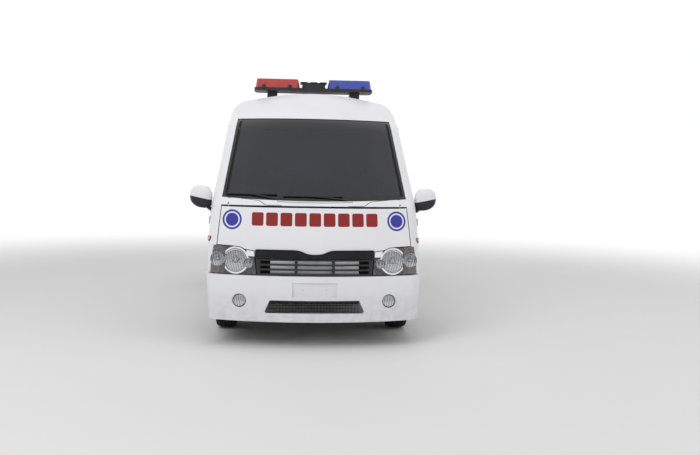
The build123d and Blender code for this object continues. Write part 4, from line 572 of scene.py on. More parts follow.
def seat_cloth(name):
    """Woven grey seat fabric with a paler fleck and faint soiling."""
    look = Look(name, Sheen_Weight=0.25, Sheen_Roughness=0.5, Roughness=0.9)
    x, y, z = look.xyz
    weave = (x + 0.3 * y).ribs(1900.0) * (z + 0.7 * y).ribs(1900.0)
    fleck = look.cells(170.0).ramp(0.35, 0.2)
    colour = look.mix(weave * 0.6, rgb(0.035, 0.038, 0.046), rgb(0.075, 0.08, 0.095))
    colour = look.mix(fleck * 0.4, colour, rgb(0.16, 0.17, 0.19))
    colour = look.mix(look.noise(5.0, 4.0).ramp(0.45, 0.8) * 0.25, colour, rgb(0.10, 0.10, 0.105))
    relief = weave + look.noise(90.0) * 0.4
    return look.wire(Base_Color=colour, Roughness=0.78 + 0.15 * weave, Normal=look.bump(relief, 0.0006))


def wipe_vinyl(name):
    """Blue wipe-clean vinyl of the mattress and the bench, with grain and creases."""
    look = Look(name, Coat_Weight=0.1, Coat_Roughness=0.3)
    grain = look.cells(420.0, "SMOOTH_F1").ramp(0.1, 0.6)
    crease = look.noise(7.0, 6.0, 0.65, (1.0, 0.5, 1.0)).ramp(0.5, 0.62)
    colour = look.mix(look.noise(4.0).ramp(0.3, 0.8) * 0.5, rgb(0.022, 0.055, 0.17), rgb(0.035, 0.08, 0.22))
    colour = look.mix(crease * 0.25, colour, rgb(0.06, 0.11, 0.25))
    return look.wire(
        Base_Color=colour,
        Roughness=0.42 + 0.15 * look.noise(20.0) + crease * 0.08,
        Normal=look.bump(grain * 0.3 + crease * 0.7, 0.0007),
    )


# Distances from the middle over which the floor turns white
FLOOR_FADE = (4.2, 11.0)


def studio_floor(name):
    """Pale seamless floor that runs out into the white ground."""
    look = Look(name, Specular_IOR_Level=0.2)
    colour = look.mix(look.noise(3.0, 4.0).ramp(0.3, 0.8) * 0.2, rgb(0.80, 0.80, 0.80), rgb(0.77, 0.77, 0.77))
    look.wire(Base_Color=colour, Roughness=0.7 + 0.1 * look.noise(6.0))
    x, y, _ = look.xyz
    away = (x * x + y * y) ** 0.5
    shaded = Channel(look, look.shader.outputs[0])
    white = look.node("ShaderNodeEmission")
    blend = look.node("ShaderNodeMixShader", values={0: away.ramp(*FLOOR_FADE), 1: shaded, 2: white})
    look.put(blend, look.tree.nodes["Material Output"].inputs["Surface"])
    return look.material


# Each finish: its maker, what the maker takes after the name, and the nodes that show as they are in it
FINISHES = {
    "body_paint": (
        body_paint, (),
        "side_left side_right roof sliding_door door_left door_right tailgate cowl_panel bonnet front_bumper "
        "rear_bumper",
    ),
    "screen_glass": (pane_look, (rgb(0.024, 0.027, 0.036), 0.70, screen_frit), "windscreen"),
    "door_glass": (pane_look, (rgb(0.022, 0.027, 0.028), 0.52), "door_glass_left door_glass_right"),
    "privacy_glass": (pane_look, (rgb(0.014, 0.016, 0.018), 0.84), "fixed_windows tailgate_glass"),
    "lamp_inside": (lamp_inside, (), "headlamp_housings"),
    "lamp_lens": (lamp_lens, (), "headlamp_lenses"),
    "tail_lamp_lens": (tail_lamp_lens, (), "tail_lamps"),
    "black_plastic": (plain_plastic, (rgb(0.022, 0.022, 0.024), 0.42, 650.0), "grille light_bar_base wipers"),
    "cab_mat": (floor_look, (rgb(0.035, 0.035, 0.036), rgb(0.07, 0.07, 0.07), 1.0), "cab_floor"),
    "load_vinyl": (floor_look, (rgb(0.22, 0.24, 0.27), rgb(0.45, 0.47, 0.5), 0.0), "load_floor rear_wheel_tubs"),
    "lining_board": (lining_board, (), "partition bench_base medical_cabinet"),
    "chassis_black": (
        metal_look, (rgb(0.022, 0.022, 0.024), 0.5, 120.0, 0.45, 0.1, 1.2),
        "chassis_rails crossmembers front_suspension rear_axle",
    ),
    "alloy": (metal_look, (rgb(0.58, 0.59, 0.60), 0.3, 500.0), "radiator stretcher_frame"),
    "cast_iron": (
        metal_look, (rgb(0.13, 0.13, 0.135), 0.55, 90.0, 0.6, 0.6, 2.0),
        "powertrain knuckle_left knuckle_right",
    ),
    "exhaust_steel": (metal_look, (rgb(0.34, 0.31, 0.28), 0.4, 140.0, 0.7, 0.9), "exhaust"),
    "tank_plastic": (plain_plastic, (rgb(0.03, 0.03, 0.032), 0.5, 160.0, 0.0006), "fuel_tank"),
    "wheel_enamel": (
        metal_look, (rgb(0.50, 0.51, 0.52), 0.28, 300.0, 0.12, 0.55),
        "rim_front_left rim_front_right rim_rear_left rim_rear_right",
    ),
    "tyre_rubber": (tyre_rubber, (), "tyre_front_left tyre_front_right tyre_rear_left tyre_rear_right spare_wheel"),
    "trim_plastic": (plain_plastic, (rgb(0.20, 0.20, 0.21), 0.6, 420.0), "dashboard"),
    "soft_black": (plain_plastic, (rgb(0.035, 0.035, 0.038), 0.55, 300.0), "steering_wheel"),
    "seat_cloth": (seat_cloth, (), "front_seats"),
    "wipe_vinyl": (wipe_vinyl, (), "stretcher_mattress bench_cushion"),
    "red_dome": (dome_look, (rgb(0.30, 0.006, 0.006), rgb(0.62, 0.02, 0.015)), "light_bar_red"),
    "blue_dome": (dome_look, (rgb(0.008, 0.02, 0.24), rgb(0.02, 0.07, 0.60)), "light_bar_blue"),
    "rubber_seal": (rubber_seal, (), ""),
    "reflector": (reflector, (), ""),
    "mirror_glass": (mirror_glass, (), ""),
    "amber_lens": (amber_lens, (), ""),
    "red_reflector": (red_reflector, (), ""),
    "zinc": (metal_look, (rgb(0.50, 0.50, 0.48), 0.3, 400.0, 0.1), ""),
    "grille_black": (plain_plastic, (rgb(0.006, 0.006, 0.007), 0.5, 650.0), ""),
    "studio_floor": (studio_floor, (), ""),
}
# Material of each finish, once it is made
MADE = {}


def finish(name):
    """Material of a finish, made once."""
    if name not in MADE:
        maker, values, _ = FINISHES[name]
        MADE[name] = maker(name, *values)
    return MADE[name]


# Mesh building

def smooth_mesh(mesh):
    """Smooth shading with sharp edges kept."""
    mesh.shade_smooth()
    mesh.set_sharp_from_angle(angle=SHARP_ANGLE)


def new_piece(name, bm, body, look, replaced=()):
    """Piece of the vehicle in a finish, from a bmesh in the row frame."""
    bmesh.ops.recalc_face_normals(bm, faces=bm.faces)
    mesh = bpy.data.meshes.new(name)
    bm.to_mesh(mesh)
    bm.free()
    smooth_mesh(mesh)
    piece = bpy.data.objects.new(name, mesh)
    bpy.context.scene.collection.objects.link(piece)
    mesh.materials.append(finish(look))
    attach(piece, body)
    if replaced:
        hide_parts(*replaced)
    return piece


def drawn(draw, *values, **options):
    """Bmesh with one thing drawn in it."""
    bm = bmesh.new()
    draw(bm, *values, **options)
    return bm


def block(bm, low, high, bevel=0.004, segments=3):
    """Box with rounded edges."""
    middle = (Vector(low) + Vector(high)) / 2
    size = Vector(high) - Vector(low)
    place = Matrix.Translation(middle) @ Matrix.Diagonal((*size, 1.0))
    verts = bmesh.ops.create_cube(bm, size=1.0, matrix=place)["verts"]
    edges = {edge for vert in verts for edge in vert.link_edges}
    bmesh.ops.bevel(
        bm, geom=list(edges), offset=bevel, segments=segments, affect="EDGES", profile=0.5,
        clamp_overlap=True,
    )


def skin_rings(bm, rings, closed_rings=True, closed_run=False):
    """Faces between rings of points, with flat ends unless the run closes on itself."""
    rows = [[bm.verts.new(point) for point in ring] for ring in rings]
    count = len(rows[0])
    ends = rows[1:] + ([rows[0]] if closed_run else [])
    for near, far in zip(rows, ends):
        for step in range(count if closed_rings else count - 1):
            after = (step + 1) % count
            bm.faces.new((near[step], near[after], far[after], far[step]))
    if closed_rings and not closed_run:
        bm.faces.new(rows[0])
        bm.faces.new(rows[-1])


def sweep(bm, path, section, normals, closed=False):
    """Runs a section of (side, lift) points along a path that has a normal at each point."""
    rings = []
    count = len(path)
    for step, (point, normal) in enumerate(zip(path, normals)):
        before = path[step - 1] if step or closed else point
        after = path[(step + 1) % count] if step < count - 1 or closed else point
        along = (after - before).normalized()
        side = along.cross(normal).normalized()
        lift = side.cross(along).normalized()
        rings.append([point + side * a + lift * b for a, b in section])
    skin_rings(bm, rings, closed_run=closed)


def round_section(radius, steps=12, flatten=1.0):
    """Circle or oval for a sweep."""
    turns = [2 * math.pi * step / steps for step in range(steps)]
    return [(radius * math.cos(turn), radius * flatten * math.sin(turn)) for turn in turns]


def lathe(bm, profile, centre, axis, steps=48, closed=False):
    """Turns a profile of (along, out) points about an axis through a centre."""
    axis = Vector(axis).normalized()
    first = axis.orthogonal().normalized()
    second = axis.cross(first)
    rings = []
    for step in range(steps):
        turn = 2 * math.pi * step / steps
        out = first * math.cos(turn) + second * math.sin(turn)
        rings.append([Vector(centre) + axis * a + out * max(b, 0.0) for a, b in profile])
    skin_rings(bm, rings, closed_rings=closed, closed_run=True)
    bmesh.ops.remove_doubles(bm, verts=bm.verts, dist=1e-5)


def spline(points, steps=8, closed=False):
    """Smooth run of points through the given ones."""
    points = [Vector(point) for point in points]
    count = len(points)
    out = []
    for step in range(count if closed else count - 1):
        a = points[step - 1] if step or closed else points[0]
        b = points[step]
        c = points[(step + 1) % count]
        d = points[(step + 2) % count] if step < count - 2 or closed else points[-1]
        for part in range(steps):
            t = part / steps
            out.append(
                0.5 * (2 * b + (c - a) * t + (2 * a - 5 * b + 4 * c - d) * t**2 + (3 * b - a - 3 * c + d) * t**3)
            )
    if not closed:
        out.append(points[-1])
    return out


class Skin:
    """Outer surface of some CAD nodes, for laying trim on."""

    def __init__(self, *nodes):
        points = []
        faces = []
        for node in nodes:
            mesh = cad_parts[node].data
            first = len(points)
            points += [vert.co.copy() for vert in mesh.vertices]
            faces += [[first + index for index in face.vertices] for face in mesh.polygons]
        self.tree = BVHTree.FromPolygons(points, faces)

    def hit(self, origin, towards):
        """Point and outward normal where a ray meets the surface."""
        towards = Vector(towards).normalized()
        point, normal, _, _ = self.tree.ray_cast(Vector(origin), towards)
        if point is None:
            raise RuntimeError(f"No surface from {tuple(origin)} towards {tuple(towards)}")
        return point, normal if normal.dot(towards) < 0 else -normal

    def wall(self, way):
        """Function that gives point and normal on the left (way 1) or right wall."""
        return lambda y, z: self.hit((way * 1.6, y, z), (-way, 0, 0))

    def front(self, x, z):
        """Point and normal on the nose."""
        return self.hit((x, -4.0, z), (0, 1, 0))

    def back(self, x, z):
        """Point and normal on the tail."""
        return self.hit((x, 4.0, z), (0, -1, 0))

    def top(self, x, y):
        """Point and normal on the roof."""
        return self.hit((x, y, 4.0), (0, 0, -1))


def middle_of(points):
    """Mean of points."""
    return sum(points, Vector()) / len(points)


def mirrored(*half):
    """Symmetric run of points from one half, which starts at its outer end."""
    return [(-a, b) for a, b in half] + [(a, b) for a, b in reversed(half) if a]


def lie_on(points, cast, lift=0.0):
    """Points and normals on a surface under flat pairs, lifted off it."""
    hits = [cast(*point) for point in points]
    return [point + normal * lift for point, normal in hits], [normal for _, normal in hits]


def lay_line(bm, points, cast, section, closed=False, lift=0.0):
    """Section along flat pairs on a surface."""
    path, normals = lie_on(points, cast, lift)
    sweep(bm, path, section, normals, closed)


def divided(outline, step, closed=True):
    """Outline with points no more than a step apart."""
    out = []
    ends = [*outline[1:], outline[0]] if closed else outline[1:]
    for start, end in zip(outline, ends):
        count = max(1, math.ceil((Vector(end) - Vector(start)).length / step))
        out += [tuple(Vector(start).lerp(Vector(end), part / count)) for part in range(count)]
    if not closed:
        out.append(tuple(outline[-1]))
    return out


def islands(node):
    """Points of each separate solid in a node."""
    bm = bmesh.new()
    bm.from_mesh(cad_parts[node].data)
    bmesh.ops.remove_doubles(bm, verts=bm.verts, dist=1e-5)
    left = set(bm.verts)
    groups = []
    while left:
        front = [left.pop()]
        group = []
        while front:
            vert = front.pop()
            group.append(vert.co.copy())
            for edge in vert.link_edges:
                other = edge.other_vert(vert)
                if other in left:
                    left.remove(other)
                    front.append(other)
        groups.append(group)
    bm.free()
    return groups


def hull(points):
    """Outer outline of flat points, in order."""
    return [tuple(points[index]) for index in convex_hull_2d(points)]


# Pieces

# Sections of seals, as (inwards, lift) from a line round an opening
WINDOW_SEAL = (
    (-0.004, -0.002), (-0.003, 0.0018), (0.001, 0.0032), (0.011, 0.003), (0.017, -0.001), (0.0185, -0.006),
)
SCREEN_SEAL = (
    (-0.003, -0.002), (-0.002, 0.0012), (0.002, 0.0020), (0.010, 0.0016), (0.013, -0.002), (0.014, -0.006),
)
SEAL_SET_OUT = 0.008

# Straight strips on the sides of the windscreen: section, and how far in they lie
SCREEN_STRIP = mirrored((0.014, -0.001), (0.013, 0.0016))
SCREEN_STRIP_IN = 0.020


def round_opening(bm, outline, cast, section):
    """Seal round a pane whose outline is given in flat pairs, partly on the skin and partly on the glass."""
    path, normals = lie_on(divided(outline, 0.06), cast)
    middle = middle_of(path)
    rings = []
    count = len(path)
    for step, (point, normal) in enumerate(zip(path, normals)):
        along = (path[(step + 1) % count] - path[step - 1]).normalized()
        inward = along.cross(normal).normalized()
        if inward.dot(middle - point) < 0:
            inward = -inward
        base = point + inward * (GLASS_LAP - SEAL_SET_OUT)
        rings.append([base + inward * a + normal * b for a, b in section])
    skin_rings(bm, rings, closed_run=True)


def flat_pair(points, first, second):
    """Two coordinates of each point."""
    return [(point[first], point[second]) for point in points]


def pane_outline(points, first=1):
    """Outline of a pane seen from the side (first 1), or from the front (first 0)."""
    return hull(flat_pair(points, first, 2))


def make_window_seals():
    """Rubber seals round every pane and strips on the sides of the windscreen."""
    nose = Skin("side_left", "side_right", "roof", "cowl_panel")
    seal = drawn(round_opening, pane_outline(islands("windscreen")[0], 0), nose.front, SCREEN_SEAL)
    new_piece("windscreen_seal", seal, "body", "rubber_seal")

    screen = Skin("windscreen")
    bm = bmesh.new()
    for way, _ in SIDES:
        foot = (way * (SCREEN_BASE_HALF - SCREEN_STRIP_IN), SCREEN_BASE_Z + 0.004)
        head = (way * (SCREEN_TOP_HALF - SCREEN_STRIP_IN), SCREEN_TOP_Z - 0.012)
        lay_strip(bm, foot, head, screen.front, SCREEN_STRIP, 0.05)
    new_piece("windscreen_strips", bm, "body", "rubber_seal")

    outline = pane_outline(islands("tailgate_glass")[0], 0)
    seal = drawn(round_opening, outline, Skin("tailgate").back, WINDOW_SEAL)
    new_piece("tailgate_seal", seal, "tailgate", "rubber_seal")

    for way, side in SIDES:
        door = "door_" + side
        outline = pane_outline(islands("door_glass_" + side)[0])
        seal = drawn(round_opening, outline, Skin(door).wall(way), WINDOW_SEAL)
        new_piece("door_seal_" + side, seal, door, "rubber_seal")
        on_wall = Skin("side_" + side, "sliding_door").wall(way)
        bm = bmesh.new()
        for pane in islands("fixed_windows"):
            if way * pane[0].x > 0.6:
                round_opening(bm, pane_outline(pane), on_wall, WINDOW_SEAL)
        new_piece("side_seals_" + side, bm, "body", "rubber_seal")


# Door mirror seen from the front: x, z on the left side
MIRROR_OUTLINE = [
    (0.925, 1.235), (0.928, 1.300), (0.962, 1.352), (1.015, 1.362), (1.075, 1.359), (1.110, 1.328),
    (1.124, 1.275), (1.112, 1.215), (1.062, 1.172), (0.990, 1.158), (0.937, 1.172),
]
MIRROR_MIDDLE = (1.025, 1.262)
MIRROR_BACK_Y = -2.079
MIRROR_DEPTH = 0.084
HOUSING_SIZE = 0.985
SHELL_STEPS = 12
SHELL_FULLNESS = 2.5
CAP_EDGE = ((0.925, 1.233), (1.118, 1.274))
MIRROR_FOOT = (-2.070, 1.150)
FOOT_CORNERS = ((-2.132, 1.120), (-2.018, 1.116), (-2.026, 1.184), (-2.090, 1.186))
FOOT_TIERS = ((1.0, -0.002), (1.0, 0.004), (0.94, 0.008), (0.5, 0.010))
ARM_END = ((0.952, -2.098, 1.166), (0.985, -2.112, 1.182))

# Rings of the mirror glass as (share of the housing, how far from its back)
MIRROR_GLASS = ((0.925, 0.0055), (0.90, 0.0038), (0.5, 0.0026), (0.02, 0.002))


def upright_ring(outline, middle, y, size=1.0):
    """Outline of (x, z) pairs set up at a depth and sized about a middle."""
    return [Vector((middle[0] + (x - middle[0]) * size, y, middle[1] + (z - middle[1]) * size)) for x, z in outline]


def shell_rings(outline, middle, back_y, depth, size):
    """Rings of a domed shell that rises forwards from a flat outline."""
    rings = []
    for step in range(SHELL_STEPS + 1):
        part = 0.985 * math.sin(math.pi / 2 * step / SHELL_STEPS)
        scale = size * (1 - part**SHELL_FULLNESS) ** (1 / SHELL_FULLNESS)
        rings.append(upright_ring(outline, middle, back_y - depth * part, scale))
    return rings


def smooth_pairs(points, steps, closed=False):
    """Smooth run of flat pairs through the given ones."""
    return flat_pair(spline([(*point, 0) for point in points], steps, closed), 0, 1)


def make_door_mirrors():
    """Mirrors with a white cap over a black housing, on a black arm from the door."""
    slope = (CAP_EDGE[1][1] - CAP_EDGE[0][1]) / (CAP_EDGE[1][0] - CAP_EDGE[0][0])
    for way, side in SIDES:
        outline = [(way * x, z) for x, z in smooth_pairs(MIRROR_OUTLINE, 6, True)]
        centre = (way * MIRROR_MIDDLE[0], MIRROR_MIDDLE[1])
        edge_point = Vector((way * CAP_EDGE[0][0], 0, CAP_EDGE[0][1]))
        edge_up = Vector((-way * slope, 0, 1)).normalized()
        body = "door_" + side

        cap = bmesh.new()
        skin_rings(cap, shell_rings(outline, centre, MIRROR_BACK_Y - 0.006, MIRROR_DEPTH - 0.006, 1.0))
        geometry = cap.verts[:] + cap.edges[:] + cap.faces[:]
        bmesh.ops.bisect_plane(cap, geom=geometry, plane_co=edge_point, plane_no=edge_up, clear_inner=True)
        new_piece("mirror_cap_" + side, cap, body, "body_paint")

        housing = bmesh.new()
        rim = [(MIRROR_BACK_Y - 0.008, 0.93), (MIRROR_BACK_Y, 0.93), (MIRROR_BACK_Y, 1.0)]
        rings = [upright_ring(outline, centre, y, size * HOUSING_SIZE) for y, size in rim]
        rings += shell_rings(outline, centre, MIRROR_BACK_Y - 0.004, MIRROR_DEPTH - 0.012, HOUSING_SIZE)
        skin_rings(housing, rings)
        on_door = Skin(body).wall(way)
        foot, out = on_door(*MIRROR_FOOT)
        bends = [Vector((way * x, y, z)) for x, y, z in ARM_END]
        arm_path = spline([foot - out * 0.004, foot + out * 0.022, *bends], 6)
        sweep(housing, arm_path, round_section(0.021, 16, 0.62), [Vector((0, -0.4, 1))] * len(arm_path))
        stack(housing, *lie_on(smooth_pairs(FOOT_CORNERS, 6, True), on_door), FOOT_TIERS)
        new_piece("mirror_housing_" + side, housing, body, "black_plastic", ["mirror_" + side])

        glass = bmesh.new()
        skin_rings(
            glass,
            [upright_ring(outline, centre, MIRROR_BACK_Y - back, size * HOUSING_SIZE) for size, back in MIRROR_GLASS],
        )
        new_piece("mirror_glass_" + side, glass, body, "mirror_glass")


# Headlamp bowls: x, z, mouth radius, depth
BOWLS = [
    (0.680, 0.735, 0.094, 0.044),
    (0.838, 0.740, 0.062, 0.036),
    (0.568, 0.715, 0.042, 0.028),
]
NOSE_RADIUS = 2.400
LAMP_SETBACK = 0.060
BOWL_PARTS = (0.18, 0.4, 0.6, 0.8, 0.92, 1.0)
RING_TURNS = (0, 1.05, 2.09, 3.14, 4.19, 5.24)
# Bulb shield as shares of the bowl's depth and mouth
SHIELD = ((0.30, 0.0), (0.30, 0.13), (0.42, 0.20), (0.62, 0.21), (0.62, 0.0))


def make_headlamp_bowls():
    """Plated reflector, ring and bulb shield in each bowl of the headlamps."""
    nose_axis_y = CAD_BOX[0][1] + NOSE_RADIUS
    for way, side in SIDES:
        bright = bmesh.new()
        for x, z, mouth, depth in BOWLS:
            face_y = nose_axis_y - math.sqrt((NOSE_RADIUS - LAMP_SETBACK) ** 2 - x**2)
            centre = Vector((way * x, face_y, z))
            bowl = [(depth * 0.93 * (1 - part**2), mouth * 0.97 * part) for part in BOWL_PARTS]
            skin = bowl + [(a - 0.0015, b) for a, b in reversed(bowl)]
            lathe(bright, skin, centre, BACKWARDS, 64, closed=True)
            ring = [(0.002 + 0.003 * math.sin(t), mouth * 0.955 + 0.003 * math.cos(t)) for t in RING_TURNS]
            lathe(bright, ring, centre, BACKWARDS, 64, closed=True)
            lathe(bright, [(depth * a, mouth * b) for a, b in SHIELD], centre, BACKWARDS, 32)
            for turn in range(3):
                angle = math.radians(90 + 120 * turn)
                across = Vector((math.cos(angle), 0, math.sin(angle)))
                start = centre + across * mouth * 0.19 + BACKWARDS * depth * 0.5
                end = centre + across * mouth * 0.62 + BACKWARDS * depth * 0.62
                sweep(bright, [start, end], round_section(0.0022, 8), [-BACKWARDS] * 2)
        new_piece("headlamp_bowls_" + side, bright, "body", "reflector")


# Upper grille on the bonnet: its top line as (x, z) on one half, dipping at the centre
GRILLE_TOP = [
    (0.0, 0.7922), (0.022, 0.7926), (0.042, 0.7942), (0.058, 0.7970), (0.075, 0.8015), (0.092, 0.8085),
    (0.108, 0.8155), (0.124, 0.8210), (0.142, 0.8253), (0.162, 0.8278), (0.185, 0.8290), (0.34, 0.8292),
    (0.505, 0.8290),
]
GRILLE_FOOT = 0.764
GRILLE_UPRIGHTS = (0.175, 0.345)
UPRIGHT_HEIGHTS = (GRILLE_FOOT, 0.797, 0.828)
# Level bars as (height, where they start from the centre)
GRILLE_BARS = ((0.7785, 0.0), (0.7930, 0.088), (0.8075, 0.118), (0.8200, 0.160))
RIM_SECTION = mirrored((0.004, -0.001), (0.0035, 0.008), (0.002, 0.0095))
BAR_SECTION = [(-0.004, 0.0), (-0.003, 0.006), (0.001, 0.007), (0.004, 0.0)]


def make_upper_grille():
    """Black upper grille on the foot of the bonnet: backing, rim, level bars and uprights."""
    bonnet = Skin("bonnet")
    top = divided(mirrored(*reversed(GRILLE_TOP)), 0.02, closed=False)
    bm = bmesh.new()
    rings = []
    for x, high in top:
        column = [(x, GRILLE_FOOT + (high - GRILLE_FOOT) * step / 4) for step in range(5)]
        outer, _ = lie_on(column, bonnet.front, 0.0022)
        inner, _ = lie_on(column, bonnet.front, -0.001)
        rings.append(outer + inner[::-1])
    skin_rings(bm, rings)
    reach = GRILLE_TOP[-1][0]
    foot = divided([(reach, GRILLE_FOOT), (-reach, GRILLE_FOOT)], 0.02, closed=False)
    lay_line(bm, top + foot, bonnet.front, RIM_SECTION, closed=True)
    for height, inner in GRILLE_BARS:
        for way in (-1, 1):
            bar = divided([(way * inner, height), (way * reach, height)], 0.03, closed=False)
            lay_line(bm, bar, bonnet.front, BAR_SECTION)
    for x in GRILLE_UPRIGHTS:
        for way in (-1, 1):
            lay_line(bm, [(way * x, z) for z in UPRIGHT_HEIGHTS], bonnet.front, RIM_SECTION)
    new_piece("upper_grille", bm, "bonnet", "grille_black")


# Fog lamp: the middle of its mouth, and its profiles as (along, out)
FOG_FACE_Y = -2.5765
FOG_BOWL = [(-0.0005, 0.006), (-0.002, 0.020), (-0.006, 0.036), (-0.012, 0.050), (-0.013, 0.050), (0.0, 0.0)]
FOG_DOME = [(-0.012, 0.0515), (-0.0145, 0.0515), (-0.0185, 0.036), (-0.0205, 0.018), (-0.0210, 0.0)]
FOG_RING = [(-0.010, 0.0572), (-0.018, 0.0572), (-0.0185, 0.054), (-0.015, 0.0505), (-0.010, 0.0505)]

# Mesh behind the intake: half width, heights, level wires and upright wires
MESH_HALF = 0.385
MESH_HEIGHTS = (0.292, 0.414)
MESH_LEVELS = [0.300 + 0.0265 * index for index in range(5)]
MESH_UPRIGHTS = [-0.378 + 0.027 * index for index in range(29)]


def make_bumper_fittings():
    """Fog lamps in their bores and the mesh behind the intake."""
    bright = bmesh.new()
    clear = bmesh.new()
    rings = bmesh.new()
    for way, _ in SIDES:
        centre = (way * FOG_LAMP[0], FOG_FACE_Y, FOG_LAMP[1])
        lathe(bright, FOG_BOWL, centre, BACKWARDS)
        lathe(clear, FOG_DOME, centre, BACKWARDS)
        lathe(rings, FOG_RING, centre, BACKWARDS, closed=True)
    for z in MESH_LEVELS:
        block(rings, (-MESH_HALF, -2.579, z - 0.002), (MESH_HALF, -2.574, z + 0.002), 0.001, 1)
    for x in MESH_UPRIGHTS:
        block(rings, (x - 0.0015, -2.578, MESH_HEIGHTS[0]), (x + 0.0015, -2.575, MESH_HEIGHTS[1]), 0.0006, 1)
    new_piece("fog_lamp_bowls", bright, "body", "reflector")
    new_piece("fog_lamp_glass", clear, "body", "lamp_lens")
    new_piece("bumper_mesh", rings, "body", "black_plastic")


# Creases of the cowl panel seen from the front, drawn as dark beads of painted shadow: x, z
CREASE_SHADOW_RUN = [
    (0.770, 1.2640), (0.70, 1.261), (0.60, 1.255), (0.520, 1.247), (0.478, 1.237), (0.450, 1.217),
    (0.425, 1.2075), (0.36, 1.206), (0.29, 1.206),
]
MIDDLE_SHADOW_RUN = mirrored((0.33, 1.238), (0.16, 1.233), (0.0, 1.232))
SHADOW_BEAD_SECTION = mirrored((0.0034, -0.001), (0.0022, 0.0006), (0.0, 0.0009))

# Windscreen wipers as (pivot x, middle x of the blade, half length of the blade, height of the blade)
PARKED_WIPERS = [(-0.330, -0.560, 0.225, 1.292), (0.270, -0.020, 0.260, 1.280)]
WIPER_PIVOT_Z = 1.252
ARM_SECTION = mirrored((0.0065, -0.003), (0.005, 0.003))
BLADE_SECTION = mirrored((0.002, -0.011), (0.005, 0.001), (0.004, 0.005))


def make_cowl_crease_shadows():
    """Painted shadows of the creases of the panel under the windscreen, as dark beads."""
    cowl = Skin("cowl_panel")
    bm = bmesh.new()
    for way, _ in SIDES:
        lay_line(bm, smooth_pairs([(way * x, z) for x, z in CREASE_SHADOW_RUN], 6), cowl.front, SHADOW_BEAD_SECTION)
    lay_line(bm, smooth_pairs(MIDDLE_SHADOW_RUN, 6), cowl.front, SHADOW_BEAD_SECTION)
    # Dark beads of painted shadow along the creases
    new_piece("cowl_creases", bm, "body", "rubber_seal")


def make_wipers():
    """Windscreen wipers parked along the foot of the glass."""
    cowl = Skin("cowl_panel")
    glass = Skin("windscreen")
    bm = bmesh.new()
    for pivot_x, middle_x, half, height in PARKED_WIPERS:
        pivot, out = cowl.front(pivot_x, WIPER_PIVOT_Z)
        sweep(bm, [pivot - out * 0.004, pivot + out * 0.012, pivot + out * 0.017],
              round_section(0.0095, 20), [Vector((1, 0, 0))] * 3)
        middle, over = glass.front(middle_x, height)
        start = pivot + out * 0.013
        end = middle + over * 0.017
        arm = [start.lerp(end, step / 8) for step in range(9)]
        sweep(bm, arm, ARM_SECTION, [out.lerp(over, step / 8) for step in range(9)])
        blade = divided([(middle_x - half, height), (middle_x + half, height)], 0.03, closed=False)
        lay_line(bm, blade, glass.front, BLADE_SECTION, lift=0.011)
    new_piece("windscreen_wipers", bm, "body", "black_plastic", ("wipers",))


# Wall of a tyre from bead to tread, as (share of the half width, height over the bead)
TYRE_WALL = ((0.88, 0.0), (0.93, 0.016), (0.985, 0.045), (1.0, 0.070), (0.992, 0.088), (0.965, 0.118))
WALL_LINES = (0.030, 0.052)

# Rows of tread blocks as (near side, far side, stagger), and the corners of a block as (side, share of its turn)
TREAD_ROWS = ((-0.80, -0.50, 0.5), (-0.44, -0.06, 0.0), (0.06, 0.44, 0.5), (0.50, 0.80, 0.0))
BLOCK_CORNERS = ((0, -1.0), (1, -0.7), (1, 1.0), (0, 0.7))
BLOCK_SHARE = 0.40
SHOULDER_DROP = 0.010

# Profiles of the wheel's fittings as (along, out)
NUT = [(-0.002, 0.0), (-0.002, 0.0125), (0.013, 0.0125), (0.0165, 0.0105), (0.018, 0.0065), (0.018, 0.0)]
WASHER = [(-0.002, 0.0), (-0.002, 0.0155), (0.002, 0.0155), (0.003, 0.013), (0.003, 0.0)]
WHEEL_CAP = [
    (0.046, 0.0345), (0.050, 0.0345), (0.056, 0.031), (0.059, 0.024), (0.0595, 0.012), (0.058, 0.006), (0.058, 0.0),
]
VALVE = [(-0.020, 0.0), (-0.020, 0.005), (0.008, 0.0045), (0.010, 0.0035), (0.018, 0.0035), (0.019, 0.0)]
VALVE_ALONG = 0.058
VALVE_RADIUS = 0.163


def wheel_size(end):
    """Centre, radius and half width of a wheel."""
    low, high = (Vector(corner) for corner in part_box("tyre_" + end))
    return (low + high) / 2, (high.z - low.z) / 2, (high.x - low.x) / 2


def tread_block(bm, middle, radius, base, half, sides, turn, span):
    """Block of the tread between two sides, tapered outwards and lower on the shoulder."""
    centre = (sides[0] + sides[1]) / 2
    shoulder = abs(centre) > 0.5
    rings = []
    for height, shrink in ((base - 0.003, 1.0), (radius - 0.0008, 0.93)):
        corners = []
        for index, share in BLOCK_CORNERS:
            across = half * (centre + (sides[index] - centre) * shrink)
            out = height - (SHOULDER_DROP if shoulder and abs(sides[index]) > 0.7 else 0.0)
            at = turn + span * share * shrink
            corners.append(middle + Vector((across, math.cos(at) * out, math.sin(at) * out)))
        rings.append(corners)
    skin_rings(bm, rings)


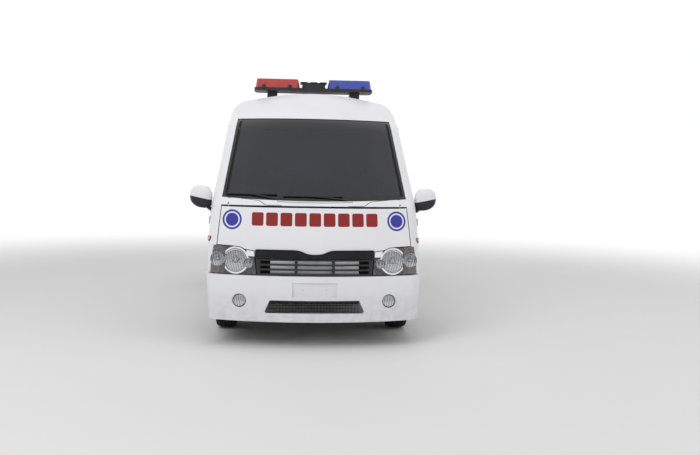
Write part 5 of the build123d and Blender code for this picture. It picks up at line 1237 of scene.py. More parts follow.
def make_tyres():
    """Tyres with grooved ribs cut into blocks and lines on each wall."""
    sizes = bpy.context.scene.ambulance_wheels
    pitch = 2 * math.pi / sizes.tread_blocks
    for end in ENDS:
        middle, radius, half = wheel_size(end)
        bead = sizes.bead_radius
        base = radius - sizes.tread_depth
        wall = [(half * share, bead + lift) for share, lift in TYRE_WALL]
        profile = mirrored(*wall, (half * 0.90, base - 0.004), (half * 0.80, base), (0.0, base + 0.001))
        inside = [(a * 0.9, b - 0.006) for a, b in (profile[-1], profile[0])]
        bm = bmesh.new()
        lathe(bm, profile + inside, middle, (1, 0, 0), 96, True)
        for way in (-1, 1):
            for lift in WALL_LINES:
                line = [(0.975, lift - 0.001), (1.0, lift), (0.975, lift + 0.001)]
                lathe(bm, [(way * half * share, bead + up) for share, up in line], middle, (1, 0, 0), 96, True)
        for near, far, stagger in TREAD_ROWS:
            for index in range(sizes.tread_blocks):
                turn = pitch * (index + stagger)
                tread_block(bm, middle, radius, base, half, (near, far), turn, pitch * BLOCK_SHARE)
        new_piece("road_tyre_" + end, bm, "wheel_" + end, "tyre_rubber", ["tyre_" + end])


def make_wheel_trim():
    """Nuts, centre cap and valve on each wheel."""
    sizes = bpy.context.scene.ambulance_wheels
    for end in ENDS:
        middle, _, _ = wheel_size(end)
        axis = Vector((math.copysign(1, middle.x), 0, 0))
        bm = bmesh.new()
        for index in range(sizes.nuts):
            turn = 2 * math.pi * index / sizes.nuts
            out = Vector((0, math.cos(turn), math.sin(turn)))
            place = middle + axis * sizes.nut_face + out * sizes.nut_circle
            lathe(bm, NUT, place, axis, 6)
            lathe(bm, WASHER, place, axis, 24)
        new_piece("wheel_nuts_" + end, bm, "wheel_" + end, "zinc")
        bm = bmesh.new()
        lathe(bm, WHEEL_CAP, middle, axis)
        lathe(bm, VALVE, middle + axis * VALVE_ALONG + UP * VALVE_RADIUS, axis, 12)
        new_piece("wheel_cap_" + end, bm, "wheel_" + end, "black_plastic")


# Sections of the trim along the sides
RUB_STRIP = mirrored((0.022, -0.002), (0.020, 0.006), (0.012, 0.010))
GUTTER = mirrored((0.008, -0.003), (0.007, 0.005), (0.0, 0.0085))
RAIL_STRIP = mirrored((0.013, -0.001), (0.012, 0.003), (0.004, 0.0035), (0.003, 0.001))
SHUT_SECTION = mirrored((0.0022, -0.001), (0.0016, 0.0007))

# Runs of the rubbing strips, broken by the sliding door on the left, and their height
RUB_RUNS = {"left": ((-0.090, 2.36), (-1.272, -0.118)), "right": ((-1.272, 2.36),), "door": (-2.205, -1.350)}
RUB_STRIP_Z = 0.805
GUTTER_RUN = ((-1.55, 1.936), (2.34, 1.936))
RAIL_RUN = ((-0.080, 1.150), (1.120, 1.150))

# Plates and lines on the sides as (middle, half size, corner), in (y, z)
REPEATER = ((-2.335, 0.905), (0.036, 0.016), 0.012)
REPEATER_FRAME = ((-2.335, 0.905), (0.043, 0.023), 0.018)
DOOR_LOCK = ((-1.375, 1.000), (0.011, 0.011), 0.0109)
SLIDER_CUP = ((-1.165, 1.055), (0.060, 0.034), 0.030)
SLIDER_GRIP = ((-1.165, 1.030), (-1.165, 1.080))
GRIP_STEPS = 12
CORNER_STEPS = 6
FILLER_FLAP = ((0.560, 0.930), (0.085, 0.085), 0.030)

# Inside of a cab door
DOOR_CARD = ((-1.770, 0.985), (0.370, 0.170), 0.040)
DOOR_PULL = ((-1.560, 1.095), (0.050, 0.022), 0.014)
ARM_REST = ((-1.930, 1.000), (-1.510, 1.034))
ARM_REST_ROOT = (-1.72, 1.02)
ARM_REST_REACH = (0.044, 0.004)
SPEAKER = (-2.020, 0.930)
SPEAKER_RINGS = (0.060, 0.050, 0.038, 0.026, 0.014)
WINDER = (-1.620, 0.930)
WINDER_ARM = Vector((0, 0.075, -0.030))
WINDER_HUB = [(0.008, 0.0), (0.008, 0.022), (0.016, 0.020), (0.020, 0.012), (0.020, 0.0)]
WINDER_KNOB = [(-0.004, 0.0), (-0.004, 0.011), (0.018, 0.010), (0.022, 0.006), (0.022, 0.0)]


def lay_strip(bm, start, end, cast, section, step=0.08):
    """Straight strip on a surface between two flat pairs."""
    run = divided([start, end], step, closed=False)
    path, normals = lie_on(run, cast)
    sweep(bm, path, section, normals)


def lay_grip(bm, cast, start, end, height, radius):
    """Bowed bar of a handle between two flat pairs on a surface."""
    path = []
    normals = []
    for step in range(GRIP_STEPS + 1):
        part = step / GRIP_STEPS
        point, normal = cast(start[0] + (end[0] - start[0]) * part, start[1] + (end[1] - start[1]) * part)
        path.append(point + normal * (height * math.sin(math.pi * part) ** 0.45 - 0.003))
        normals.append(normal)
    sweep(bm, path, round_section(radius, 12, 0.75), normals)


def stack(bm, base, out, tiers):
    """Plate over a ring of points with their normals, in tiers of (size, lift)."""
    heart = middle_of(base)
    skin_rings(bm, [[heart.lerp(p, size) + n * lift for p, n in zip(base, out)] for size, lift in tiers])


def lay_plate(bm, outline, cast, thickness, edge=0.0015):
    """Thin plate with a rounded edge lying on a surface, from flat pairs."""
    base, out = lie_on(outline, cast)
    span = max((point - middle_of(base)).length for point in base)
    tiers = [(1.0, -0.0015), (1.0, thickness - edge), (1 - edge / span, thickness), (0.5, thickness + 0.0002)]
    stack(bm, base, out, tiers)


def rounded_rectangle(middle, half, corner):
    """Flat pairs of a rectangle with round corners."""
    out = []
    for index, (a, b) in enumerate(((1, 1), (-1, 1), (-1, -1), (1, -1))):
        centre = (middle[0] + a * (half[0] - corner), middle[1] + b * (half[1] - corner))
        for step in range(CORNER_STEPS + 1):
            turn = math.pi / 2 * (index + step / CORNER_STEPS)
            out.append((centre[0] + corner * math.cos(turn), centre[1] + corner * math.sin(turn)))
    return out


def lay_tile(bm, tile, cast, thickness, edge=0.0015):
    """Plate on a surface, with round corners: (middle, half size, corner)."""
    lay_plate(bm, rounded_rectangle(*tile), cast, thickness, edge)


def make_door_card(door, way, side):
    """Trim inside a cab door: card, armrest, pull, speaker and window winder."""
    def on_inside(y, z):
        return door.hit((way * 0.50, y, z), (way, 0, 0))

    card = drawn(lay_plate, divided(rounded_rectangle(*DOOR_CARD), 0.05), on_inside, 0.010, 0.004)
    new_piece("door_card_" + side, card, "door_" + side, "trim_plastic")
    fittings = bmesh.new()
    rest, _ = on_inside(*ARM_REST_ROOT)
    low_x, high_x = sorted(rest.x - way * reach for reach in ARM_REST_REACH)
    block(fittings, (low_x, *ARM_REST[0]), (high_x, *ARM_REST[1]), 0.012, 4)
    centre, normal = on_inside(*SPEAKER)
    for ring in SPEAKER_RINGS:
        profile = [(0.009, ring - 0.004), (0.013, ring - 0.002), (0.013, ring), (0.009, ring + 0.002)]
        lathe(fittings, profile, centre, normal, 32, closed=True)
    centre, normal = on_inside(*WINDER)
    lathe(fittings, WINDER_HUB, centre, normal, 32)
    knob = centre + normal * 0.022 + WINDER_ARM
    arm = [centre + normal * 0.016, (centre + normal * 0.024).lerp(knob, 0.6), knob]
    sweep(fittings, arm, round_section(0.006, 10), [normal] * 3)
    lathe(fittings, WINDER_KNOB, knob, normal, 20)
    lay_tile(fittings, DOOR_PULL, on_inside, 0.014, 0.003)
    new_piece("door_fittings_" + side, fittings, "door_" + side, "black_plastic")


def make_side_trim():
    """Rubbing strips, gutters, repeaters, arch lips, door rail, handles and filler flap."""
    arc = [math.radians(turn) for turn in range(14, 167, 4)]
    reach = ARCH_RADIUS + 0.010
    arch = [(REAR_AXLE[0] + reach * math.cos(t), REAR_AXLE[1] + reach * math.sin(t)) for t in arc]
    for way, side in SIDES:
        on_wall = Skin("side_" + side, "roof", *(["sliding_door"] if way > 0 else [])).wall(way)
        door = Skin("door_" + side)
        on_door = door.wall(way)

        strips = bmesh.new()
        for start, end in RUB_RUNS[side]:
            lay_strip(strips, (start, RUB_STRIP_Z), (end, RUB_STRIP_Z), on_wall, RUB_STRIP)
        new_piece("rub_strip_" + side, strips, "body", "black_plastic")
        ends = [(y, RUB_STRIP_Z) for y in RUB_RUNS["door"]]
        new_piece("door_strip_" + side, drawn(lay_strip, *ends, on_door, RUB_STRIP), "door_" + side, "black_plastic")
        new_piece("gutter_" + side, drawn(lay_strip, *GUTTER_RUN, on_wall, GUTTER), "body", "body_paint")
        new_piece("arch_lip_" + side, drawn(lay_line, arch, on_wall, GUTTER), "body", "rubber_seal")
        new_piece("repeater_" + side, drawn(lay_tile, REPEATER, on_wall, 0.010), "body", "amber_lens")
        rim = drawn(lay_tile, REPEATER_FRAME, on_wall, 0.004)
        new_piece("repeater_frame_" + side, rim, "body", "black_plastic")
        make_door_card(door, way, side)
        new_piece("door_lock_" + side, drawn(lay_tile, DOOR_LOCK, on_door, 0.004), "door_" + side, "zinc")

    on_left = Skin("side_left", "sliding_door").wall(1)
    new_piece("slider_rail", drawn(lay_strip, *RAIL_RUN, on_left, RAIL_STRIP), "body", "alloy")
    grip = drawn(lay_tile, SLIDER_CUP, on_left, 0.003)
    lay_grip(grip, on_left, *SLIDER_GRIP, 0.024, 0.010)
    new_piece("slider_handle", grip, "body", "black_plastic")
    on_right = Skin("side_right").wall(-1)
    flap = drawn(lay_line, rounded_rectangle(*FILLER_FLAP), on_right, SHUT_SECTION, closed=True)
    new_piece("filler_flap_line", flap, "body", "rubber_seal")


# Trim of the tail as (middle, half size, corner), in (x, z)
TAILGATE_HANDLE = ((0.0, 1.085), (0.300, 0.042), 0.018)
TAILGATE_GRIP = ((-0.085, 1.062), (0.085, 1.062))
TAILGATE_CARD = ((0.0, 0.905), (0.640, 0.230), 0.050)
WIPER_BASE = ((0.0, 1.205), (0.030, 0.024), 0.020)
PLATE_LAMPS = [((x, 1.052), (0.032, 0.009), 0.006) for x in (-0.20, 0.20)]
REAR_REFLECTORS = [((x, 0.455), (0.055, 0.018), 0.006) for x in (0.700, -0.700)]
TAIL_LAMP_MIDDLE = (0.8655, 0.960)
TAIL_LAMP_HALF = (0.0565, 0.196)

REAR_ARM = ((0.0, 1.205), (-0.10, 1.248), (-0.26, 1.300))
REAR_ARM_SECTION = mirrored((0.009, -0.003), (0.007, 0.003))
REAR_BLADE = ((-0.46, 1.305), (-0.02, 1.290))
REAR_BLADE_SECTION = mirrored((0.004, -0.009), (0.006, 0.002), (0.004, 0.009))
LAMP_RIM_SECTION = mirrored((0.004, -0.003), (0.003, 0.002))

# Ribs of the step: half length, rows and section
STEP_HALF = 0.56
STEP_ROWS = [2.555 + 0.012 * index for index in range(6)]
STEP_RIB = mirrored((0.0035, -0.001), (0.0025, 0.0035))


def make_rear_trim():
    """Tailgate handle, wiper, reflectors, lamp frames and the step's tread."""
    gate = Skin("tailgate")
    glazed = Skin("tailgate", "tailgate_glass")
    bumper = Skin("rear_bumper")

    handle = drawn(lay_tile, TAILGATE_HANDLE, gate.back, 0.016)
    lay_grip(handle, gate.back, *TAILGATE_GRIP, 0.030, 0.009)
    new_piece("tailgate_handle", handle, "tailgate", "black_plastic")
    lenses = bmesh.new()
    for tile in PLATE_LAMPS:
        lay_tile(lenses, tile, gate.back, 0.0195)
    new_piece("tailgate_lenses", lenses, "tailgate", "lamp_lens")

    wiper = drawn(lay_tile, WIPER_BASE, gate.back, 0.022)
    path, normals = lie_on(divided(REAR_ARM, 0.03, closed=False), glazed.back, 0.024)
    sweep(wiper, path, REAR_ARM_SECTION, [normals[-1]] * len(path))
    lay_line(wiper, divided(REAR_BLADE, 0.03, closed=False), glazed.back, REAR_BLADE_SECTION, lift=0.010)
    new_piece("rear_wiper", wiper, "tailgate", "black_plastic")

    def on_inside(x, z):
        return gate.hit((x, 1.8, z), (0, 1, 0))

    card = drawn(lay_plate, divided(rounded_rectangle(*TAILGATE_CARD), 0.06), on_inside, 0.010, 0.004)
    new_piece("tailgate_card", card, "tailgate", "trim_plastic")
    marks = bmesh.new()
    for tile in REAR_REFLECTORS:
        lay_tile(marks, tile, bumper.back, 0.006)
    new_piece("rear_reflectors", marks, "body", "red_reflector")
    tread = bmesh.new()
    for y in STEP_ROWS:
        lay_strip(tread, (-STEP_HALF, y), (STEP_HALF, y), bumper.top, STEP_RIB, 0.05)
    new_piece("rear_step_tread", tread, "body", "rubber_seal")

    for way, side in SIDES:
        middle = (way * TAIL_LAMP_MIDDLE[0], TAIL_LAMP_MIDDLE[1])
        outline = divided(rounded_rectangle(middle, TAIL_LAMP_HALF, 0.020), 0.03)
        walls = Skin("tail_lamps", "side_" + side)
        rim = drawn(lay_line, outline, walls.back, LAMP_RIM_SECTION, closed=True)
        new_piece("tail_lamp_rim_" + side, rim, "body", "rubber_seal")


# Clips of the light bar and the panels between its domes
CLIP_PLACES = (-0.24, -0.50, 0.24, 0.50)
CLIP_HALF = 0.016
CLIP_HEIGHTS = (2.332, 2.378)
PANEL_PLACES = (-0.10, 0.0, 0.10)
PANEL_HALF = 0.036
PANEL_MARGIN = 0.03


def make_light_bar_fittings():
    """Clips and centre panels of the light bar."""
    clips = bmesh.new()
    low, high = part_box("light_bar_base")
    foot, head = CLIP_HEIGHTS
    for x in CLIP_PLACES:
        for y in (low[1], high[1]):
            block(clips, (x - CLIP_HALF, y - 0.004, foot), (x + CLIP_HALF, y + 0.006, head), 0.002)
    front, back = low[1] + PANEL_MARGIN, high[1] - PANEL_MARGIN
    for x in PANEL_PLACES:
        block(clips, (x - PANEL_HALF, front, high[2] - 0.002), (x + PANEL_HALF, back, high[2] + 0.004), 0.003)
    new_piece("light_bar_clips", clips, "body", "black_plastic")


# Fittings of the dashboard, in (x, z)
VENTS = (-0.64, -0.12, 0.12, 0.64)
VENT_Z = 1.080
VENT_HALF = (0.058, 0.038)
VENT_ROWS = [1.052 + 0.013 * row for row in range(5)]
SLAT_HALF = 0.050
RADIO_PANEL = ((0.0, 0.975), (0.105, 0.048), 0.010)
RADIO_KNOBS = ((-0.075, 0.975), (0.075, 0.975))
RADIO_KEYS = [((-0.040 + 0.020 * column, 0.955), (0.0075, 0.006), 0.002) for column in range(5)]
GLOVEBOX = ((0.420, 0.985), (0.200, 0.058), 0.020)
RADIO_KNOB = [(0.004, 0.012), (0.014, 0.0115), (0.016, 0.010), (0.0165, 0.0)]
STALK_KNOB = [(-0.020, 0.0), (-0.020, 0.010), (0.006, 0.009), (0.010, 0.0)]
WHEEL_PAD = [(0.006, 0.0), (0.006, 0.040), (0.0, 0.052), (-0.010, 0.056), (-0.024, 0.050), (-0.024, 0.0)]
COLUMN_AXIS = (0, 0.62, 0.78)


def make_dashboard_fittings():
    """Vents, radio panel, glovebox line, stalks and the pad of the steering wheel."""
    dash = Skin("dashboard")

    def on_face(x, z):
        return dash.hit((x, -1.2, z), (0, -1, 0))

    vents = bmesh.new()
    for x in VENTS:
        point, _ = on_face(x, VENT_Z)
        for z in VENT_ROWS:
            low, high = (x - SLAT_HALF, point.y - 0.004, z), (x + SLAT_HALF, point.y + 0.006, z + 0.004)
            block(vents, low, high, 0.001, 1)
        lay_tile(vents, ((x, VENT_Z), VENT_HALF, 0.010), on_face, 0.003)
    new_piece("dash_vents", vents, "body", "black_plastic")

    panel = drawn(lay_tile, RADIO_PANEL, on_face, 0.005)
    for place in RADIO_KNOBS:
        lathe(panel, RADIO_KNOB, *on_face(*place), 24)
    for tile in RADIO_KEYS:
        lay_tile(panel, tile, on_face, 0.0085)
    new_piece("dash_panel", panel, "body", "black_plastic")
    line = drawn(lay_line, divided(rounded_rectangle(*GLOVEBOX), 0.03), on_face, SHUT_SECTION, closed=True)
    new_piece("glovebox_line", line, "body", "rubber_seal")

    centre = middle_of([Vector(corner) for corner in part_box("steering_wheel")])
    axis = Vector(COLUMN_AXIS).normalized()
    stalks = bmesh.new()
    for way in (-1, 1):
        root = centre - axis * 0.075 + Vector((way * 0.020, 0, 0))
        tip = centre - axis * 0.055 + Vector((way * 0.150, -0.01, 0.012))
        sweep(stalks, [root, root.lerp(tip, 0.5), root.lerp(tip, 0.85), tip], round_section(0.0065, 12), [axis] * 4)
        lathe(stalks, STALK_KNOB, tip, (way, 0, 0), 20)
    new_piece("column_stalks", stalks, "body", "soft_black")
    new_piece("wheel_pad", drawn(lathe, WHEEL_PAD, centre + axis * 0.012, axis), "body", "soft_black")


# Cuts across each face of a pad, the width and depth of a pleat, and the height, width and depth of a welt
PAD_CUTS = 27
PLEAT_WIDTH = 0.011
PLEAT_DEPTH = 0.006
WELT_HEIGHT = 0.30
WELT_WIDTH = 0.10
WELT_DEPTH = 0.003


def padded_block(bm, size, place, corner, crown, pleats=()):
    """Stuffed block: rounded, crowned on top, pulled in at pleats across it and along its welt."""
    half = Vector(size) / 2
    pad = bmesh.new()
    bmesh.ops.create_cube(pad, size=2.0)
    bmesh.ops.subdivide_edges(pad, edges=pad.edges[:], cuts=PAD_CUTS, use_grid_fill=True)
    for vert in pad.verts:
        unit = Vector([math.sin(math.pi / 2 * part) for part in vert.co])
        full = Vector([u * h for u, h in zip(unit, half)])
        core = Vector([max(-(h - corner), min(h - corner, f)) for h, f in zip(half, full)])
        out = full - core
        point = core + out.normalized() * corner if out.length > 1e-6 else full
        upper = max(0.0, unit.z)
        swell = (1 - unit.x**2) * (1 - unit.y**2)
        point.z += upper * crown * (swell**0.5 - 1.0)
        for at in pleats:
            away = (point.y - at * half.y) / PLEAT_WIDTH
            point.z -= upper * PLEAT_DEPTH * math.exp(-away * away) * swell**0.25
        welt = WELT_DEPTH * math.exp(-(((unit.z - WELT_HEIGHT) / WELT_WIDTH) ** 2))
        point.x -= unit.x**9 * welt
        point.y -= unit.y**9 * welt
        vert.co = place @ point
    mesh = bpy.data.meshes.new("pad")
    pad.to_mesh(mesh)
    pad.free()
    bm.from_mesh(mesh)
    bpy.data.meshes.remove(mesh)


def tilted(middle, slope=0.0):
    """Place of a pad: its middle, and its slope about the X axis in degrees."""
    return Matrix.Translation(Vector(middle)) @ Matrix.Rotation(math.radians(slope), 4, "X")


def pad_piece(name, bm, look, replaced=()):
    """Pad on the body."""
    piece = new_piece(name, bm, "body", look, replaced)


# Cab seat: its middle, its plinth's half width and corners in (y, z), and the posts of the head restraint
SEAT_X = 0.430
PLINTH_HALF = 0.215
PLINTH_ENDS = ((-1.815, 0.7905), (-1.310, 0.832))
POST_SPREAD = 0.055
POST_ENDS = ((-1.300, 1.440), (-1.304, 1.530))

# Its pads as (name, middle in (y, z), slope and turn in degrees, size, corner, crown, pleats)
SEAT_PADS = (
    ("seat_cushion_", (-1.645, 0.879), -3.8, 0, (0.490, 0.405, 0.092), 0.030, 0.014, (-0.55, 0.0, 0.55)),
    ("seat_back_", (-1.355, 1.187), 90 - 9.6, 180, (0.480, 0.560, 0.086), 0.034, 0.016, (-0.45, 0.0, 0.45)),
    ("head_restraint_", (-1.3065, 1.570), 90 - 6, 0, (0.250, 0.135, 0.066), 0.026, 0.010, ()),
)


def make_cab_seats():
    """Two cab seats: plinth, cushion, back and head restraint."""
    for way, side in SIDES:
        x = way * SEAT_X
        plinth = drawn(block, (x - PLINTH_HALF, *PLINTH_ENDS[0]), (x + PLINTH_HALF, *PLINTH_ENDS[1]), 0.008)
        for post in (x - POST_SPREAD, x + POST_SPREAD):
            sweep(plinth, [Vector((post, *end)) for end in POST_ENDS], round_section(0.006, 12), [BACKWARDS] * 2)
        new_piece("seat_plinth_" + side, plinth, "body", "black_plastic", ["front_seats"])
        for name, middle, slope, turn, size, corner, crown, pleats in SEAT_PADS:
            place = tilted((x, *middle), slope) @ Matrix.Rotation(math.radians(turn), 4, "Z")
            pad_piece(name + side, drawn(padded_block, size, place, corner, crown, pleats), "seat_cloth")


# Mattress in three lengths as (size, middle, slope in degrees), and bench cushions
MATTRESS = (
    ((0.512, 0.684, 0.0685), (-0.300, 0.7115, 1.0205), -math.degrees(math.atan2(0.170, 0.680))),
    ((0.512, 0.610, 0.072), (-0.300, 1.370, 0.9375), 0.0),
    ((0.512, 0.600, 0.072), (-0.300, 1.982, 0.9375), 0.0),
)
BENCH = [((0.408, 0.738, 0.067), (0.6425, 0.43167 + 0.74333 * index, 1.0355), 0.0) for index in range(3)]
PAD_PLEATS = (-0.35, 0.35)
CEILING_RAIL = ((0.25, 2.175), (0.25, 2.105), (0.29, 2.085), (2.11, 2.085), (2.15, 2.105), (2.15, 2.175))
PULL_ROWS = (0.735, 0.865, 0.985, 1.105)
PULL_COLUMNS = (-0.95, -0.45, 0.05, 0.55)
PULL = ((-0.002, -0.060), (0.020, -0.052), (0.020, 0.052), (-0.002, 0.060))


def make_patient_pads():
    """Stretcher mattress in three lengths and bench cushions, with rails and drawer pulls."""
    groups = (("mattress_pads", MATTRESS, 0.024, "stretcher_mattress"), ("bench_pads", BENCH, 0.022, "bench_cushion"))
    for name, pads, corner, node in groups:
        bm = bmesh.new()
        for size, middle, slope in pads:
            padded_block(bm, size, tilted(middle, slope), corner, 0.008, PAD_PLEATS)
        pad_piece(name, bm, "wipe_vinyl", [node])

    rail = [Vector((-0.10, y, z)) for y, z in CEILING_RAIL]
    rails = drawn(sweep, rail, round_section(0.012, 16), [Vector((1, 0, 0))] * len(rail))
    new_piece("ceiling_rail", rails, "body", "alloy")
    pulls = bmesh.new()
    front_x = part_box("medical_cabinet")[1][0]
    for z in PULL_ROWS:
        for y in PULL_COLUMNS:
            path = [Vector((front_x + out, y + along, z)) for out, along in PULL]
            sweep(pulls, path, round_section(0.005, 10), [UP] * 4)
    new_piece("drawer_pulls", pulls, "body", "zinc")


# Settings

def colour(name, description, default):
    """Setting of a colour."""
    return FloatVectorProperty(
        name=name, description=description, subtype="COLOR", size=3, min=0.0, max=1.0, default=default
    )


def length(name, description, default):
    """Setting in metres."""
    return FloatProperty(name=name, description=description, unit="LENGTH", default=default)


def count(name, description, least, default):
    """Setting of a number of things."""
    return IntProperty(name=name, description=description, min=least, default=default)


def power(name, description, default):
    """Setting in watts."""
    return FloatProperty(name=name, description=description, unit="POWER", default=default)


class AmbulanceLivery(bpy.types.PropertyGroup):
    """Colours and markings of the coachwork."""

    white: colour("White", "Colour of the coachwork", (0.80, 0.80, 0.835))
    red: colour("Red", "Colour of the block row and the side band", (0.25, 0.020, 0.020))
    blue: colour("Blue", "Colour of the roundels and the side line", (0.045, 0.045, 0.32))
    row_half: length("Row half width", "Half the length of the block row", 0.558)
    row_low: length("Row foot", "Foot of the block row", 1.030)
    row_high: length("Row head", "Head of the block row", 1.144)
    row_blocks: count("Blocks", "Blocks in the row", 1, 9)
    row_gap: length("Block gap", "Gap between blocks", 0.022)
    roundel_x: length("Roundel from centre", "Distance of each roundel from the middle", 0.720)
    roundel_z: length("Roundel height", "Height of the roundels", 1.078)
    roundel_radius: length("Roundel radius", "Outer radius of a roundel", 0.085)
    band_low: length("Band foot", "Foot of the side band", 0.980)
    band_high: length("Band head", "Head of the side band", 1.130)


class AmbulanceLamps(bpy.types.PropertyGroup):
    """Places of the lamps."""

    main_x: length("Main lamp from centre", "Distance of the main bowl from the middle", 0.680)
    main_z: length("Main lamp height", "Height of the main bowl", 0.735)
    main_radius: length("Main lamp radius", "Mouth radius of the main bowl", 0.094)
    tail_low: length("Tail lamp foot", "Foot of the tail lamps", 0.760)
    tail_high: length("Tail lamp head", "Head of the tail lamps", 1.160)


class AmbulanceWheels(bpy.types.PropertyGroup):
    """Tread of the tyres and fastening of the wheels."""

    bead_radius: length("Bead radius", "Inner radius of the tyre wall", 0.1915)
    tread_depth: length("Tread depth", "Depth of the grooves", 0.0095)
    tread_blocks: count("Tread blocks", "Blocks round each rib", 12, 64)
    nuts: count("Nuts", "Nuts of each wheel", 3, 5)
    nut_circle: length("Nut circle", "Radius of the circle of nuts", 0.064)
    nut_face: length("Nut face", "Distance of the disc's face from the tyre's middle", 0.022)


class AmbulanceStudio(bpy.types.PropertyGroup):
    """Light and floor of the studio."""

    key_power: power("Key light", "Power of the key light", 350.0)
    fill_power: power("Fill light", "Power of the fill lights", 125.0)
    top_power: power("Top light", "Power of the light overhead", 150.0)
    sky: FloatProperty(name="Sky", description="Strength of the surrounding light", min=0.0, default=0.48)
    floor_half: length("Floor half size", "Half the width of the floor", 60.0)


# Operators

class AMBULANCE_OT_finishes(bpy.types.Operator):
    """Give each solid of the frame its finish"""
    bl_idname = "ambulance.finishes"
    bl_label = "Finishes"

    def execute(self, context):
        for look, (_, _, names) in FINISHES.items():
            for name in names.split():
                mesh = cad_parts[name].data
                mesh.materials.clear()
                mesh.materials.append(finish(look))
        return {"FINISHED"}


class AMBULANCE_OT_wheels(bpy.types.Operator):
    """Make the treaded tyres, the nuts and the caps"""
    bl_idname = "ambulance.wheels"
    bl_label = "Tyres and wheel trim"

    def execute(self, context):
        make_tyres()
        make_wheel_trim()
        return {"FINISHED"}


class AMBULANCE_OT_headlamps(bpy.types.Operator):
    """Make the insides of the headlamps, the upper grille and the fittings of the front bumper"""
    bl_idname = "ambulance.headlamps"
    bl_label = "Front lamps"

    def execute(self, context):
        make_headlamp_bowls()
        make_upper_grille()
        make_bumper_fittings()
        return {"FINISHED"}


class AMBULANCE_OT_mirrors(bpy.types.Operator):
    """Make the door mirrors"""
    bl_idname = "ambulance.mirrors"
    bl_label = "Door mirrors"

    def execute(self, context):
        make_door_mirrors()
        return {"FINISHED"}


class AMBULANCE_OT_seals(bpy.types.Operator):
    """Lay the rubber seals of the panes, dark beads of painted shadow in the creases of the cowl, and the wipers"""
    bl_idname = "ambulance.seals"
    bl_label = "Seals, creases and wipers"

    def execute(self, context):
        make_window_seals()
        make_cowl_crease_shadows()
        make_wipers()
        return {"FINISHED"}


class AMBULANCE_OT_side_trim(bpy.types.Operator):
    """Make the trim of the sides"""
    bl_idname = "ambulance.side_trim"
    bl_label = "Side trim"

    def execute(self, context):
        make_side_trim()
        return {"FINISHED"}


class AMBULANCE_OT_rear_trim(bpy.types.Operator):
    """Make the trim of the tail"""
    bl_idname = "ambulance.rear_trim"
    bl_label = "Rear trim"

    def execute(self, context):
        make_rear_trim()
        return {"FINISHED"}


class AMBULANCE_OT_light_bar(bpy.types.Operator):
    """Make the fittings of the light bar"""
    bl_idname = "ambulance.light_bar"
    bl_label = "Light bar fittings"

    def execute(self, context):
        make_light_bar_fittings()
        return {"FINISHED"}


class AMBULANCE_OT_cab(bpy.types.Operator):
    """Make the cab seats and the fittings of the dashboard"""
    bl_idname = "ambulance.cab"
    bl_label = "Cab"

    def execute(self, context):
        make_dashboard_fittings()
        make_cab_seats()
        return {"FINISHED"}


class AMBULANCE_OT_patient_space(bpy.types.Operator):
    """Make the pads, rails and pulls of the patient space"""
    bl_idname = "ambulance.patient_space"
    bl_label = "Patient space"

    def execute(self, context):
        make_patient_pads()
        return {"FINISHED"}


# Camera of the reference view, in metres and degrees
CAMERA_PLACE = (-0.179, -9.230, 1.479)
CAMERA_YAW = -4.09
CAMERA_PITCH = 3.85
CAMERA_ROLL = 0.97
CAMERA_LENS = 40.11
CAMERA_REACH = 300.0

# Lights as (name, place, size, setting of the power), and the point that they face
LIGHTS = (
    ("key_light", (-5.2, -8.0, 7.5), 6.0, "key_power"),
    ("fill_light", (7.5, -5.0, 5.0), 6.0, "fill_power"),
    ("back_light", (2.0, 9.0, 7.0), 6.0, "fill_power"),
    ("top_light", (0.0, -0.5, 9.5), 8.0, "top_power"),
)
LIT_POINT = Vector((0, 0, 1.0))


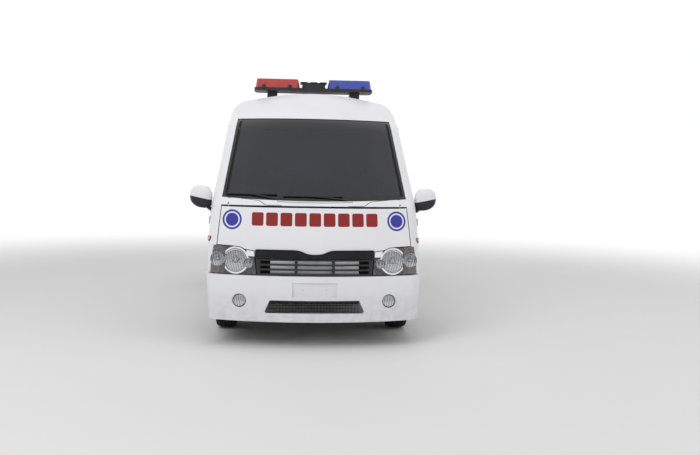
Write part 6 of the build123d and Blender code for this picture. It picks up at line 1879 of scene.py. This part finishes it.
class AMBULANCE_OT_studio(bpy.types.Operator):
    """Make the floor, the lights, the surroundings and the camera"""
    bl_idname = "ambulance.studio"
    bl_label = "Studio"

    def execute(self, context):
        scene = context.scene
        sizes = scene.ambulance_studio
        self.make_floor(scene, sizes.floor_half)
        for name, place, size, power in LIGHTS:
            self.make_light(scene, name, place, size, getattr(sizes, power))
        self.make_world(scene, sizes.sky)
        self.make_camera(scene)
        scene.view_settings.view_transform = "Standard"
        return {"FINISHED"}

    @staticmethod
    def make_floor(scene, half):
        """Wide flat floor under the wheels."""
        bm = bmesh.new()
        bmesh.ops.create_grid(bm, x_segments=40, y_segments=40, size=half)
        mesh = bpy.data.meshes.new("studio_floor")
        bm.to_mesh(mesh)
        bm.free()
        mesh.materials.append(finish("studio_floor"))
        floor = bpy.data.objects.new("studio_floor", mesh)
        scene.collection.objects.link(floor)

    @staticmethod
    def make_light(scene, name, place, size, power):
        """Square soft light turned to the middle of the vehicle."""
        lamp = bpy.data.lights.new(name, "AREA")
        lamp.shape = "SQUARE"
        lamp.size = size
        lamp.energy = power
        light = bpy.data.objects.new(name, lamp)
        light.location = place
        light.rotation_euler = (LIT_POINT - Vector(place)).to_track_quat("-Z", "Y").to_euler()
        light.visible_glossy = False
        scene.collection.objects.link(light)

    @staticmethod
    def make_world(scene, strength):
        """Even surroundings that show white to the camera, in gloss and through glass."""
        scene.world = bpy.data.worlds.new("studio_world")
        nodes = Nodes(scene.world)
        shown = nodes.node("ShaderNodeLightPath", output="Is Camera Ray")
        rays = shown.socket.node.outputs
        for name in ("Is Glossy Ray", "Is Transmission Ray"):
            shown = shown.larger(Channel(nodes, rays[name]))
        level = nodes.node("ShaderNodeMapRange", values={"Value": shown, "To Min": strength, "To Max": 1.0})
        background = nodes.tree.nodes["Background"]
        nodes.put(level, background.inputs["Strength"])
        nodes.put(rgb(1, 1, 1), background.inputs["Color"])

    @staticmethod
    def make_camera(scene):
        """Camera of the reference view."""
        yaw = math.radians(CAMERA_YAW)
        pitch = math.radians(CAMERA_PITCH)
        roll = math.radians(CAMERA_ROLL)
        side = Vector((math.cos(yaw), math.sin(yaw), 0))
        flat = Vector((-math.sin(yaw), math.cos(yaw), 0))
        ahead = flat * math.cos(pitch) - UP * math.sin(pitch)
        over = side.cross(ahead)
        right = side * math.cos(roll) + over * math.sin(roll)
        upwards = over * math.cos(roll) - side * math.sin(roll)
        turn = Matrix((right, upwards, -ahead)).transposed()
        lens = bpy.data.cameras.new("reference_camera")
        lens.lens = CAMERA_LENS
        lens.sensor_width = 36.0
        lens.clip_end = CAMERA_REACH
        camera = bpy.data.objects.new("reference_camera", lens)
        camera.matrix_world = Matrix.Translation(CAMERA_PLACE) @ turn.to_4x4()
        scene.collection.objects.link(camera)
        scene.camera = camera


# In the order in which they run
OPERATORS = (
    AMBULANCE_OT_finishes,
    AMBULANCE_OT_wheels,
    AMBULANCE_OT_headlamps,
    AMBULANCE_OT_mirrors,
    AMBULANCE_OT_seals,
    AMBULANCE_OT_side_trim,
    AMBULANCE_OT_rear_trim,
    AMBULANCE_OT_light_bar,
    AMBULANCE_OT_cab,
    AMBULANCE_OT_patient_space,
    AMBULANCE_OT_studio,
)
SETTINGS = {
    "ambulance_livery": AmbulanceLivery,
    "ambulance_lamps": AmbulanceLamps,
    "ambulance_wheels": AmbulanceWheels,
    "ambulance_studio": AmbulanceStudio,
}


class AMBULANCE_PT_panel(bpy.types.Panel):
    """Settings and steps of the ambulance van"""
    bl_idname = "AMBULANCE_PT_panel"
    bl_label = "Ambulance Van"
    bl_space_type = "VIEW_3D"
    bl_region_type = "UI"
    bl_category = "Ambulance"

    def draw(self, context):
        for name, group in SETTINGS.items():
            box = self.layout.box()
            for setting in group.__annotations__:
                box.prop(getattr(context.scene, name), setting)
        for operator in OPERATORS:
            self.layout.operator(operator.bl_idname)


def register():
    """Adds the settings, the operators and the panel."""
    for name, group in SETTINGS.items():
        bpy.utils.register_class(group)
        setattr(bpy.types.Scene, name, PointerProperty(type=group))
    for cls in (*OPERATORS, AMBULANCE_PT_panel):
        bpy.utils.register_class(cls)


def unregister():
    """Takes them away again."""
    for cls in (AMBULANCE_PT_panel, *reversed(OPERATORS)):
        bpy.utils.unregister_class(cls)
    for name, group in SETTINGS.items():
        delattr(bpy.types.Scene, name)
        bpy.utils.unregister_class(group)


def main():
    """Dresses the frame step by step."""
    register()
    for operator in OPERATORS:
        group, step = operator.bl_idname.split(".")
        getattr(getattr(bpy.ops, group), step)()


if __name__ == "__main__":
    main()
